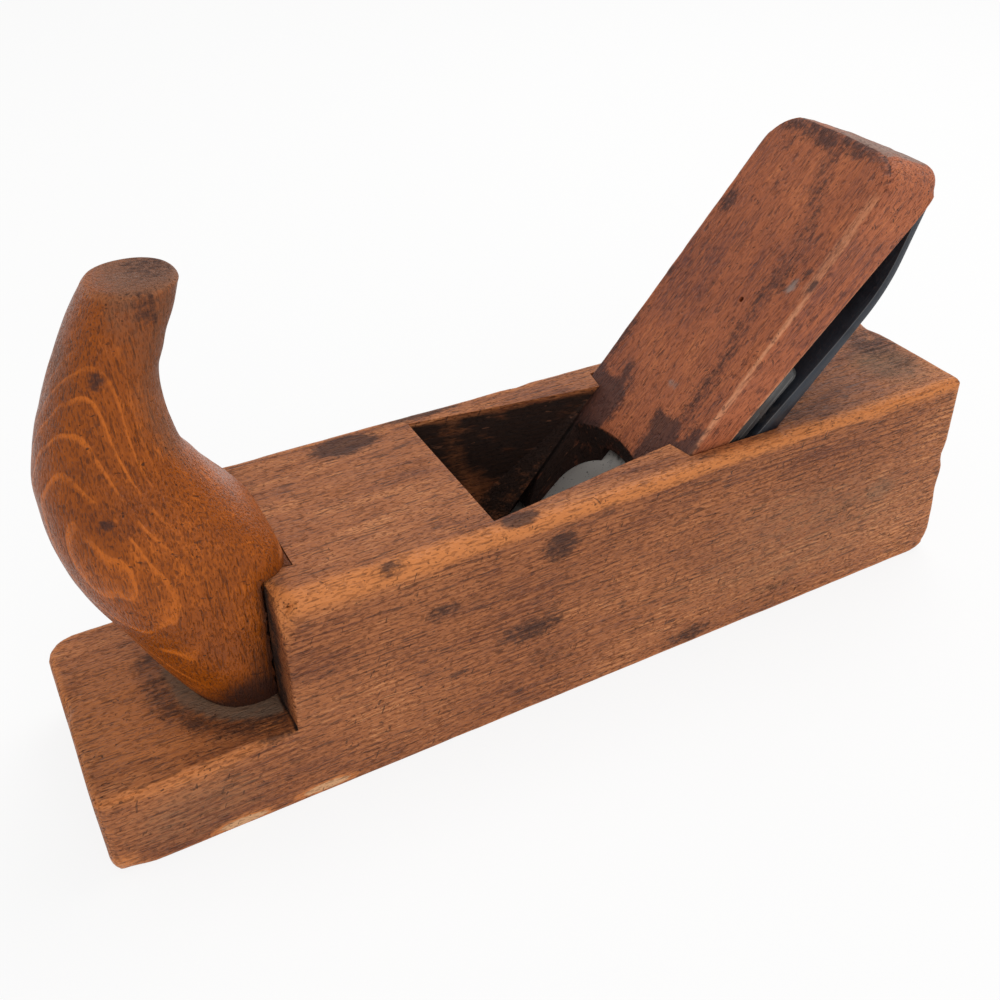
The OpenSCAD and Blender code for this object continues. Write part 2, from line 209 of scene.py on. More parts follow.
class Graph:
    """A shader or geometry tree that is written as Python expressions."""

    def __init__(self, tree: bpy.types.NodeTree) -> None:
        """Keeps the tree that the nodes go into."""
        self.tree = tree

    def add(self, kind: str, settings: dict[str, Any] | None = None,
            values: dict[int | str, Any] | None = None, output: int | str = 0) -> Socket:
        """Adds one node.

        Args:
            kind: The node's type.
            settings: Its properties, set first. "points" draws a curve node's line.
            values: Numbers or links for its inputs, by name or number.
            output: Which output is handed back.

        Returns:
            That output.
        """
        node = self.tree.nodes.new(kind)
        for name, value in (settings or {}).items():
            if name == "points":
                self._draw(node.mapping, *value)
            else:
                setattr(node, name, value)
        for key, value in (values or {}).items():
            port = node.inputs[key]
            if isinstance(value, Socket):
                self.tree.links.new(value.port, port)
            else:
                port.default_value = (*value, 1.0) if port.type == "RGBA" else value
        return Socket(self, node.outputs[output]) if len(node.outputs) else Socket(self, node.inputs[0])

    @staticmethod
    def _draw(mapping: bpy.types.CurveMapping, points: Sequence[Point2], handle: Handle) -> None:
        """Draws the line of a curve node.

        Args:
            mapping: The node's curve.
            points: Its points, from 0 to 1 both ways.
            handle: How the line passes through them.
        """
        line = mapping.curves[0].points
        for point in points[1:-1]:
            line.new(*point)
        line[0].location, line[len(line) - 1].location = points[0], points[-1]
        for point in line:
            point.handle_type = handle.value
        mapping.update()

    def curve(self, at: Socket, points: Sequence[Point2], handle: Handle = Handle.SMOOTH) -> Socket:
        """Reads a line drawn through points.

        Args:
            at: Where the line is read.
            points: Its points in real sizes, from left to right.
            handle: How it passes through them.

        Returns:
            The line's height there.
        """
        xs, ys = zip(*points)
        low, span = min(ys), (max(ys) - min(ys)) or 1.0
        reach = xs[-1] - xs[0]
        drawn = [((x - xs[0]) / reach, (y - low) / span) for x, y in points]
        height = self.add("ShaderNodeFloatCurve", {"points": (drawn, handle)}, {"Value": (at - xs[0]) / reach})
        return height * span + low

    def scaled(self, vector: Socket, factors: Point3) -> Socket:
        """Stretches a vector by one factor for each direction."""
        return self.add("ShaderNodeVectorMath", {"operation": "MULTIPLY"}, {0: vector, 1: factors})

    def shifted(self, vector: Socket, offset: Point3 | Socket) -> Socket:
        """Moves a vector."""
        return self.add("ShaderNodeVectorMath", {"operation": "ADD"}, {0: vector, 1: offset})

    def turned(self, vector: Socket, turn: Point3) -> Socket:
        """Turns a vector about the origin by three angles in degrees."""
        return self.add("ShaderNodeVectorRotate", {"rotation_type": "EULER_XYZ"},
                        {"Vector": vector, "Rotation": tuple(math.radians(a) for a in turn)})

    def length(self, vector: Socket) -> Socket:
        """Length of a vector."""
        return self.add("ShaderNodeVectorMath", {"operation": "LENGTH"}, {0: vector}, 1)

    def parts(self, vector: Socket) -> tuple[Socket, Socket, Socket]:
        """Splits a vector into its three numbers."""
        first = self.add("ShaderNodeSeparateXYZ", None, {0: vector})
        outputs = first.port.node.outputs
        return first, Socket(self, outputs[1]), Socket(self, outputs[2])

    def layered(self, base: Socket | Tone, *layers: tuple[Tone, Socket]) -> Socket:
        """Lays colours over a base.

        Args:
            base: The colour underneath.
            layers: The colours from the lowest up, each with how much of it shows.

        Returns:
            The colour on top.
        """
        for shade, share in layers:
            base = self.add("ShaderNodeMix", {"data_type": "RGBA", "clamp_factor": True},
                            {0: share, 6: base, 7: shade}, 2)
        return base

    def mark(self, mark: Mark) -> Socket:
        """Reads a number that a piece carries in its mesh."""
        return self.add("ShaderNodeAttribute", {"attribute_name": mark.value}, None, 2)


@dataclass(frozen=True)
class Pattern:
    """Noise with its own fineness in each direction, as hills on a millimetre."""

    per_mm: Point3
    detail: float = 2.0
    rough: float = 0.5
    shift: Point3 | None = None

    def read(self, graph: Graph, vector: Socket, output: int = 0) -> Socket:
        """Reads the noise.

        Args:
            graph: The tree.
            vector: The place in millimetres.
            output: 0 for a number about 0.5, 1 for a vector.

        Returns:
            The noise.
        """
        place = graph.shifted(vector, self.shift) if self.shift else vector
        return graph.add("ShaderNodeTexNoise", None, {
            "Vector": graph.scaled(place, self.per_mm), "Scale": 1.0, "Detail": self.detail,
            "Roughness": self.rough}, output)


class SurfaceGraph(Graph):
    """The tree of one material, with its shader."""

    def __init__(self, name: str) -> None:
        """Makes the material and reads its place in millimetres.

        Args:
            name: The material's name.
        """
        self.material = bpy.data.materials.new(name)
        self.material.use_nodes = True
        super().__init__(self.material.node_tree)
        self.shader = self.tree.nodes["Principled BSDF"]
        coordinates = self.add("ShaderNodeTexCoord", None, None, "Object")
        self.place = self.scaled(coordinates, (1 / MM, 1 / MM, 1 / MM))

    def along_bed(self) -> Socket:
        """The place as distances up the bed, across it and above it."""
        return self.turned(self.shifted(self.place, (-MOUTH_X, 0.0, 0.0)), (0.0, 45.0, 0.0))

    def dress(self, colour: Socket, rough: Socket, height: Socket, relief: float,
              metallic: Socket | float = 0.0) -> bpy.types.Material:
        """Feeds the shader.

        Args:
            colour: The base colour.
            rough: The roughness.
            height: The fine relief, about 0 to 1.
            relief: How deep that relief is, in millimetres.
            metallic: How metallic the surface is.

        Returns:
            The finished material.
        """
        bump = self.add("ShaderNodeBump", None, {"Strength": 1.0, "Distance": relief * MM, "Height": height})
        links = self.tree.links
        for name, value in (("Base Color", colour), ("Roughness", rough), ("Normal", bump),
                            ("Metallic", metallic)):
            if isinstance(value, Socket):
                links.new(value.port, self.shader.inputs[name])
            else:
                self.shader.inputs[name].default_value = value
        return self.material


# ---- Finishes ----


class Finish(Protocol):
    """Something a piece can be dressed with."""

    def material(self) -> bpy.types.Material:
        """Makes the material."""


@dataclass(frozen=True)
class Beech:
    """Old oiled beech, darkened by handling.

    The grain runs along X once the piece is turned by `turn` degrees. A piece carries five marks in its
    mesh: wear on its ridges, with a painted highlight on some; stain; dust, with a painted sheen in places;
    grime, with painted shade in hollows and creases; and figure where its rings show as pale lines.
    """

    name: str
    turn: Point3
    pith: Point2
    body: Tone
    deep: Tone
    light: Tone
    # The tone of rubbed edges, which also paints the highlight on some ridges
    worn: Tone
    # The tone of dust, which also paints a sheen on some upward faces
    dust: Tone
    ring_gap: float = 2.6
    ring_depth: float = 0.35
    ring_warp: float = 6.0
    fibre_warp: float = 1.8
    streaks: float = 0.9
    fleck_depth: float = 0.6
    stroke: Point2 = (0.8, 2.4)
    fresh: Tone = tone(224, 178, 134)
    dark: Tone = tone(92, 48, 24)
    pore_tone: Tone = tone(52, 27, 18)
    stain: Tone = tone(46, 28, 26)
    speck_tone: Tone = tone(40, 24, 17)
    scratch_tone: Tone = tone(52, 28, 18)
    # The tone of grime and of the painted shade in hollows and creases
    grime_and_shade_tone: Tone = tone(28, 17, 13)
    nick_tone: Tone = tone(120, 78, 56)
    grime_and_shade_patches: float = 2.2
    rough: float = 0.5
    gloss: float = 0.35
    relief: float = 0.3
    battered: float = 0.5
    seed: float = 0.0
    drift: Pattern = Pattern((0.016, 0.035, 0.035))
    uneven: Pattern = Pattern((0.004, 0.12, 0.12), 1.0)
    fibre: Pattern = Pattern((0.035, 1.15, 1.15), 1.0, 0.6)
    hair: Pattern = Pattern((0.5, 2.8, 2.8), 1.0)
    pore: Pattern = Pattern((0.2, 1.9, 1.9), 0.0, shift=(3.0, 7.0, 1.0))
    age: Pattern = Pattern((0.014, 0.03, 0.03), 3.0)
    blotch: Pattern = Pattern((0.08, 0.14, 0.14), 3.0, 0.6)
    ragged: Pattern = Pattern((0.6, 0.9, 0.9), 3.0, 0.65)
    speck: Pattern = Pattern((0.7, 1.0, 1.0), 1.0, 0.6)
    pit: Pattern = Pattern((0.32, 0.62, 0.62), 2.0, 0.6, (5.0, 3.0, 8.0))
    nick: Pattern = Pattern((0.22, 0.9, 0.9), shift=(1.0, 5.0, 3.0))
    steep: Pattern = Pattern((0.03, 1.6, 1.6), 0.0)
    slant: Pattern = Pattern((0.035, 1.4, 1.4), 0.0)

    def material(self) -> bpy.types.Material:
        """Makes the wood.

        Returns:
            The material.
        """
        graph = SurfaceGraph(self.name)
        place = graph.shifted(graph.place, (self.seed, self.seed, self.seed))
        grain = graph.turned(graph.place, self.turn)
        drift = self.drift.read(graph, graph.shifted(grain, (self.seed, 0.0, 0.0)), 1)
        gentle = graph.shifted(grain, graph.scaled(drift, (0.0, self.fibre_warp, self.fibre_warp)))
        stroke = Pattern((self.stroke[0], self.stroke[1], self.stroke[1]), 0.0, shift=(9.0, 2.0, 5.0))
        fibre, hair, strokes, pores = (
            pattern.read(graph, gentle) for pattern in (self.fibre, self.hair, stroke, self.pore))
        age, blotch, ragged, specks = (
            pattern.read(graph, place) for pattern in (self.age, self.blotch, self.ragged, self.speck))
        pits, nicks = self.pit.read(graph, grain), self.nick.read(graph, grain).rise(0.68, 0.72)
        strokes, pores, specks = strokes.rise(0.56, 0.68), pores.rise(0.64, 0.74), specks.rise(0.73, 0.79)
        scratch = self._scratches(graph, grain) * blotch.rise(0.46, 0.56)
        wear, stain, dust, soot, figure = (graph.mark(mark) for mark in Mark)

        ring = self._rings(graph, grain, drift)
        late = ring.rise(0.35, 0.8) * (1 - ring.rise(0.85, 1.0))
        line = ring.rise(0.0, 0.06) * (1 - ring.rise(0.1, 0.26))
        line = line * figure * (age + (blotch - 0.5)).rise(0.3, 0.5)
        level = 0.5 + fibre.swing(0.6) + hair.swing(self.streaks) + age.swing(1.3) + blotch.swing(0.9)
        level = level - late * (0.35 + 1.3 * blotch.rise(0.42, 0.62)) * self.ring_depth

        # Rubbed edges turn paler; on some ridges this is a painted highlight
        rubbed_and_highlit = (wear + fibre.swing(0.7) + ragged.swing(0.6)).rise(0.1, 1.0) * wear.rise(0.0, 0.25)
        marked = self.fleck_depth * (1 - rubbed_and_highlit * 0.35) * (1 - line * 0.75)
        # Dust greys the wood; in places it is a painted sheen
        dust_and_sheen_share = (dust + ragged.swing(0.5) + fibre.swing(0.5)).rise(0.15, 0.9) * dust.rise(0.01, 0.2)
        stained = stain + fibre.swing(0.9) + ragged.swing(1.5) + blotch.swing(0.7)
        stained = stained.rise(0.3, 1.0) * stain.rise(0.0, 0.25)
        # Grime and painted shade darken hollows, creases and the throat
        grime_and_shade_share = (soot + fibre.swing(0.9) * soot + blotch.swing(self.grime_and_shade_patches) * soot).rise(0.05, 0.9)
        colour = graph.layered(
            self.deep, (self.body, level.rise(-0.1, 0.55)), (self.light, level.rise(0.5, 1.05)),
            (self.light, line * 0.9), (self.worn, rubbed_and_highlit * 0.85),
            (self.fresh, (wear + ragged.swing(0.9)).rise(1.15, 1.6) * 0.8),
            (self.dark, strokes * marked * 0.75), (self.pore_tone, pores * marked * 0.8),
            (self.dust, dust_and_sheen_share * 0.75), (self.stain, stained * 0.82), (self.speck_tone, specks * 0.75),
            (self.scratch_tone, scratch * 0.65), (self.dark, pits.rise(0.6, 0.69) * self.battered * 0.55),
            (self.grime_and_shade_tone, grime_and_shade_share * 0.97), (self.nick_tone, nicks * grime_and_shade_share * 0.5))
        rough = (self.rough + fibre.swing(0.3) + strokes * 0.15 + dust_and_sheen_share * 0.25 + stained * 0.1 + grime_and_shade_share * 0.3
                 - rubbed_and_highlit * 0.08 + blotch.swing(0.3))
        height = (0.5 + hair.swing(0.7) - strokes * 0.3 - pores * 0.35 + fibre.swing(0.4)
                  + ragged.swing(self.battered) - pits.rise(0.56, 0.72) * self.battered * 0.8
                  - scratch * 0.4 - specks * 0.4)
        graph.shader.inputs["Specular IOR Level"].default_value = self.gloss
        return graph.dress(colour, rough, height, self.relief)

    def _rings(self, graph: Graph, grain: Socket, drift: Socket) -> Socket:
        """The year rings round the pith.

        Args:
            graph: The tree.
            grain: The place along the grain.
            drift: How the rings wander.

        Returns:
            How far a place lies through its ring, from 0 to 1.
        """
        half = self.ring_warp / 2
        warped = graph.shifted(grain, graph.scaled(drift, (0.0, self.ring_warp, self.ring_warp)))
        spread = graph.scaled(graph.shifted(warped, (0.0, -self.pith[0] - half, -self.pith[1] - half)),
                              (0.05, 1.0, 1.0))
        return (graph.length(spread) / self.ring_gap + self.uneven.read(graph, spread) * 0.9).part()

    def _scratches(self, graph: Graph, grain: Socket) -> Socket:
        """Fine lines that cross the grain in two directions."""
        steep = self.steep.read(graph, graph.turned(grain, (12.0, 68.0, 24.0))).rise(0.75, 0.8)
        return steep.largest(self.slant.read(graph, graph.turned(grain, (-15.0, -38.0, 55.0))).rise(0.77, 0.82))


@dataclass(frozen=True)
class Steel:
    """Tool steel under an old patina, brushed up the blade."""

    name: str
    body: Tone
    deep: Tone
    bright: Tone
    rust: Tone
    rust_share: float = 0.25
    rough: float = 0.42
    relief: float = 0.05
    polished_to: float = 0.0
    polish: float = 0.0
    cloud: Pattern = Pattern((0.06, 0.06, 0.06), 5.0, 0.65)
    mottle: Pattern = Pattern((0.4, 0.4, 0.4), 4.0, 0.6)
    brush: Pattern = Pattern((0.05, 6.0, 6.0))
    pit: Pattern = Pattern((1.3, 1.3, 1.3))

    def material(self) -> bpy.types.Material:
        """Makes the steel.

        Returns:
            The material.
        """
        graph = SurfaceGraph(self.name)
        bed = graph.along_bed()
        cloud, mottle, pits = (p.read(graph, graph.place) for p in (self.cloud, self.mottle, self.pit))
        pits, brushed, wear = pits.rise(0.64, 0.72), self.brush.read(graph, bed), graph.mark(Mark.WEAR)
        layers = [(self.deep, cloud.rise(0.42, 0.62)), (self.bright, brushed.rise(0.5, 0.8) * 0.25)]
        if self.polish:
            up, _, _ = graph.parts(bed)
            below = (up + mottle.swing(7.0)).rise(self.polished_to + 1.5, self.polished_to - 1.5)
            layers.append((self.bright, below * self.polish))
        rusty = (cloud + mottle.swing(0.5)).rise(0.6 - self.rust_share * 0.4, 0.72)
        # Brighter rounded edges: rubbed steel and a painted glint
        rubbed_and_highlit = (wear + mottle.swing(0.4)).rise(0.3, 0.8)
        layers += [(self.rust, rusty * 0.6), (self.rust, pits * 0.7), (self.bright, rubbed_and_highlit * 0.45)]
        rough = self.rough + mottle.swing(0.2) + rusty * 0.25 + pits * 0.2 - rubbed_and_highlit * 0.1
        metallic = 0.45 + rubbed_and_highlit * 0.3 - rusty * 0.3 - pits * 0.2
        height = 0.5 + brushed.swing(0.3) + mottle.swing(0.5) - pits * 0.6
        return graph.dress(graph.layered(self.body, *layers), rough, height, self.relief, metallic)


@dataclass(frozen=True)
class TurnedBrass:
    """Tarnished brass with the fine rings of the lathe round the screw's line."""

    name: str
    body: Tone
    tarnish: Tone
    screw_up_bed: float
    spot_tone: Tone = tone(38, 30, 22)
    rings_per_mm: float = 22.0
    relief: float = 0.03
    cloud: Pattern = Pattern((0.25, 0.25, 0.25), 5.0, 0.65)
    spot: Pattern = Pattern((1.6, 1.6, 1.6), 2.0, 0.6)

    def material(self) -> bpy.types.Material:
        """Makes the brass.

        Returns:
            The material.
        """
        graph = SurfaceGraph(self.name)
        flat = graph.scaled(graph.shifted(graph.along_bed(), (-self.screw_up_bed, 0.0, 0.0)), (1.0, 1.0, 0.0))
        rings = (graph.length(flat) * self.rings_per_mm).sine()
        cloud, spots = (p.read(graph, graph.place) for p in (self.cloud, self.spot))
        spots = spots.rise(0.62, 0.72)
        colour = graph.layered(self.body, (self.tarnish, cloud.rise(0.35, 0.65)), (self.spot_tone, spots * 0.7))
        rough = 0.38 + cloud.swing(0.3) + spots * 0.2
        height = 0.5 + rings * 0.2 + cloud.swing(0.4) - spots * 0.4
        return graph.dress(colour, rough, height, self.relief, 0.9 - spots * 0.4)


# ---- Shapes ----


class Cut(Enum):
    """How two solids are combined."""

    AWAY = "DIFFERENCE"
    BOTH = "INTERSECT"
    JOIN = "UNION"


class Solid:
    """A closed mesh in millimetres that is cut, joined and worn before it becomes a piece."""

    def __init__(self, mesh: bpy.types.Mesh) -> None:
        """Holds the mesh in an object, with its faces turned outwards.

        Args:
            mesh: A closed mesh.
        """
        self.object = bpy.data.objects.new("solid", mesh)
        bpy.context.scene.collection.objects.link(self.object)
        self.edit(lambda shape: bmesh.ops.recalc_face_normals(shape, faces=shape.faces))

    @classmethod
    def of(cls, points: Iterable[Sequence[float]], faces: Iterable[Sequence[int]]) -> Self:
        """Builds a solid from points and faces.

        Args:
            points: The corners.
            faces: The corners of each face.

        Returns:
            The solid.
        """
        mesh = bpy.data.meshes.new("solid")
        mesh.from_pydata([tuple(p) for p in points], [], [tuple(f) for f in faces])
        return cls(mesh)

    @classmethod
    def prism(cls, outline: Sequence[Point2], low: float, high: float, place: Matrix) -> Self:
        """Draws an outline out to a solid.

        Args:
            outline: Its corners.
            low: Where it starts.
            high: Where it ends.
            place: From the outline's directions to the frame.

        Returns:
            The solid.
        """
        count = len(outline)
        points = [place @ Vector((*p, level)) for level in (low, high) for p in outline]
        sides = [(i, (i + 1) % count, (i + 1) % count + count, i + count) for i in range(count)]
        return cls.of(points, [range(count), range(count, 2 * count), *sides])

    @classmethod
    def hull(cls, points: Iterable[Point3]) -> Self:
        """Wraps points tightly.

        Args:
            points: The points.

        Returns:
            The solid.
        """
        shape = bmesh.new()
        for point in points:
            shape.verts.new(point)
        bmesh.ops.convex_hull(shape, input=shape.verts)
        bmesh.ops.delete(shape, geom=[v for v in shape.verts if not v.link_faces], context="VERTS")
        mesh = bpy.data.meshes.new("solid")
        shape.to_mesh(mesh)
        shape.free()
        return cls(mesh)

    @classmethod
    def lathe(cls, profile: Sequence[Point2], place: Matrix, steps: int = 64) -> Self:
        """Turns a profile about the local Z axis.

        Args:
            profile: Corners as radius and height. It is closed from its last corner to its first.
            place: From the axis' frame to the frame.
            steps: How many facets go round.

        Returns:
            The solid.
        """
        count = len(profile)
        points = [place @ Vector((r * math.cos(a), r * math.sin(a), h))
                  for a in (2 * math.pi * k / steps for k in range(steps)) for r, h in profile]
        faces = [(k * count + i, k * count + (i + 1) % count, (k + 1) % steps * count + (i + 1) % count,
                  (k + 1) % steps * count + i) for k in range(steps) for i in range(count)]
        made = cls.of(points, faces)
        made.edit(lambda shape: bmesh.ops.remove_doubles(shape, verts=shape.verts, dist=1e-4))
        return made.edit(lambda shape: bmesh.ops.recalc_face_normals(shape, faces=shape.faces))

    def edit(self, change: Callable[[bmesh.types.BMesh], Any]) -> Self:
        """Changes the mesh through a bmesh.

        Args:
            change: What is done to it.

        Returns:
            The same solid.
        """
        shape = bmesh.new()
        shape.from_mesh(self.object.data)
        change(shape)
        shape.to_mesh(self.object.data)
        shape.free()
        return self

    def combine(self, other: "Solid", cut: Cut = Cut.AWAY) -> Self:
        """Cuts this solid with another, which is used up.

        Args:
            other: The other solid.
            cut: How the two are combined.

        Returns:
            The same solid.
        """
        modifier = self.object.modifiers.new("cut", "BOOLEAN")
        modifier.operation = cut.value
        modifier.solver = "EXACT"
        modifier.object = other.object
        view = bpy.context.evaluated_depsgraph_get()
        mesh = bpy.data.meshes.new_from_object(self.object.evaluated_get(view))
        self.object.modifiers.clear()
        self.object.data = mesh
        bpy.data.objects.remove(other.object)
        return self

    def melt_seams(self) -> Self:
        """Melts the seams inside each flat face."""
        def melt(shape: bmesh.types.BMesh) -> None:
            """Merges doubles and then flat neighbours."""
            bmesh.ops.remove_doubles(shape, verts=shape.verts, dist=2e-3)
            bmesh.ops.dissolve_limit(shape, angle_limit=math.radians(0.4), verts=shape.verts,
                                     edges=shape.edges, use_dissolve_boundaries=False)
        return self.edit(melt)

    def ease_edges(self, width: float, segments: int, wanted: Callable[[Vector], bool]) -> Self:
        """Rounds sharp outer edges.

        Args:
            width: How far the rounding reaches.
            segments: How many facets it has.
            wanted: Says of an edge's middle whether it is rounded.

        Returns:
            The same solid.
        """
        def bevel(shape: bmesh.types.BMesh) -> None:
            """Finds the edges and rounds them."""
            edges = [e for e in shape.edges
                     if e.is_manifold and e.is_convex and e.calc_face_angle() > math.radians(18)
                     and wanted((e.verts[0].co + e.verts[1].co) / 2)]
            bmesh.ops.bevel(shape, geom=edges, offset=width, segments=segments, profile=0.5,
                            affect="EDGES", clamp_overlap=True)
        return self.edit(bevel)

    def slice_along(self, direction: Point3, levels: Iterable[float]) -> Self:
        """Adds edges where planes cross the surface, so that it can be worn.

        Args:
            direction: The planes' shared direction.
            levels: How far each plane stands along it.

        Returns:
            The same solid.
        """
        normal = Vector(direction).normalized()

        def slice_all(shape: bmesh.types.BMesh) -> None:
            """Cuts the surface at every level."""
            for level in sorted(levels):
                bmesh.ops.bisect_plane(shape, geom=[*shape.verts, *shape.edges, *shape.faces], dist=1e-4,
                                       plane_co=normal * level, plane_no=normal)
        return self.edit(slice_all)

    def wear(self, shift: Callable[[Vector], tuple[Vector, dict[Mark, float]]]) -> Self:
        """Moves every point and stores the marks that its finish reads.

        Args:
            shift: Gives a point's worn place and its marks.

        Returns:
            The same solid.
        """
        mesh = self.object.data
        worn = [shift(v.co.copy()) for v in mesh.vertices]
        for vertex, (place, _) in zip(mesh.vertices, worn):
            vertex.co = place
        for mark in Mark:
            layer = mesh.attributes.new(mark.value, "FLOAT", "POINT")
            layer.data.foreach_set("value", [marks.get(mark, 0.0) for _, marks in worn])
        return self

    def finish(self, name: str, finish: Finish, body: str, slot: str, *nodes: str,
               crease: float = 32.0) -> bpy.types.Object:
        """Turns the solid into a piece of the object.

        Args:
            name: The piece's name.
            finish: What it is dressed with.
            body: The body it rides on.
            slot: The record's slot that its finish stands for; it is not used.
            nodes: The nodes that it stands for.
            crease: Faces that meet at more than this angle keep a crisp edge.

        Returns:
            The piece.
        """
        piece = self.object
        piece.name = piece.data.name = name
        mesh = piece.data
        mesh.transform(Matrix.Scale(MM, 4))
        mesh.materials.clear()
        mesh.materials.append(finish.material())
        mesh.polygons.foreach_set("material_index", [0] * len(mesh.polygons))
        mesh.polygons.foreach_set("use_smooth", [True] * len(mesh.polygons))
        mesh.set_sharp_from_angle(angle=math.radians(crease))
        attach(piece, body)
        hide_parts(*nodes)
        log.info("%s: %d faces, rides on %s", name, len(mesh.polygons), body)
        return piece


@dataclass(frozen=True)
class Blot:
    """A soft-edged patch on a surface, such as a stain."""

    at: Point3
    reach: Point3
    mark: Mark = Mark.STAIN
    strength: float = 1.0

    def share(self, place: Vector) -> float:
        """How strongly the patch shows at a place."""
        far = math.sqrt(sum(((p - c) / r) ** 2 for p, c, r in zip(place, self.at, self.reach)))
        return self.strength * ease(far, 1.25, 0.3)


@dataclass(frozen=True)
class Fade:
    """A mark that comes in along directions of the frame, each from a low to a high."""

    mark: Mark
    strength: float
    runs: tuple[tuple[int, float, float], ...]

    def share(self, place: Vector) -> float:
        """How strongly the mark shows at a place."""
        return math.prod((ease(place[axis], low, high) for axis, low, high in self.runs), start=self.strength)


@dataclass(frozen=True)
class Dent:
    """A knock that pushes the surface in."""

    at: Point3
    reach: Point3
    push: Point3

    def shift(self, place: Vector) -> Vector:
        """How far the knock moves a place."""
        far = sum(((p - c) / r) ** 2 for p, c, r in zip(place, self.at, self.reach))
        return Vector(self.push) * (1 - far) ** 2 if far < 1 else Vector()


def patches(mark: Mark, *rows: tuple[float, ...]) -> tuple[Blot, ...]:
    """Patches of one mark, from rows of their place, reach and strength."""
    return tuple(Blot(row[:3], row[3:6], mark, row[6]) for row in rows)


def knocks(*rows: tuple[float, ...]) -> tuple[Dent, ...]:
    """Knocks, from rows of their place, reach and push."""
    return tuple(Dent(row[:3], row[3:6], row[6:]) for row in rows)


def strongest(touches: Iterable[Blot | Fade], place: Vector) -> dict[Mark, float]:
    """Gathers the marks of patches and fades at a place.

    Args:
        touches: The patches and fades.
        place: A point in the frame.

    Returns:
        The strongest share of each mark.
    """
    marks: dict[Mark, float] = {}
    for touch in touches:
        marks[touch.mark] = max(marks.get(touch.mark, 0.0), touch.share(place))
    return marks


def levels_between(low: float, high: float, pitch: float, fine: Sequence[float]) -> set[float]:
    """Levels for slicing a piece: an even pitch, and finer steps beside its two ends.

    Args:
        low: The lower end.
        high: The upper end.
        pitch: The even pitch.
        fine: Distances of the finer levels from each end.

    Returns:
        The levels.
    """
    count = max(1, round((high - low) / pitch))
    even = {low + (high - low) * i / count for i in range(1, count)}
    even = {v for v in even if min(v - low, high - v) > fine[-1] + pitch * 0.3}
    return even | {low + f for f in fine} | {high - f for f in fine}


def mirrored(near: Sequence[Point3]) -> list[Point3]:
    """Corners on the near side, as x, y and radius, and then their mirror images on the far side."""
    return [*near, *((x, -y, radius) for x, y, radius in reversed(near))]


def rounded_outline(corners: Sequence[Point3], steps: int = 8) -> list[Point2]:
    """Rounds the corners of an outline.

    Args:
        corners: Corners as x, y and radius.
        steps: How many facets a rounding has.

    Returns:
        The outline.
    """
    made: list[Point2] = []
    for i, (x, y, radius) in enumerate(corners):
        here = Vector((x, y))
        if radius == 0:
            made.append((x, y))
            continue
        before = (Vector(corners[i - 1][:2]) - here).normalized()
        after = (Vector(corners[(i + 1) % len(corners)][:2]) - here).normalized()
        half = before.angle(after) / 2
        centre = here + (before + after).normalized() * radius / math.sin(half)
        first = here + before * radius / math.tan(half) - centre
        last = here + after * radius / math.tan(half) - centre
        for k in range(steps + 1):
            spoke = (first * (steps - k) + last * k).normalized() * radius
            made.append(tuple(centre + spoke))
    return made


def bowed(start: Point2, control: Point2, end: Point2, steps: int = 12) -> list[Point2]:
    """A curve with two ends and one control point.

    Args:
        start, control, end: The three points.
        steps: How many facets it has.

    Returns:
        Its points.
    """
    a, b, c = Vector(start), Vector(control), Vector(end)
    shares = (k / steps for k in range(steps + 1))
    return [tuple(a * (1 - t) ** 2 + b * 2 * t * (1 - t) + c * t * t) for t in shares]


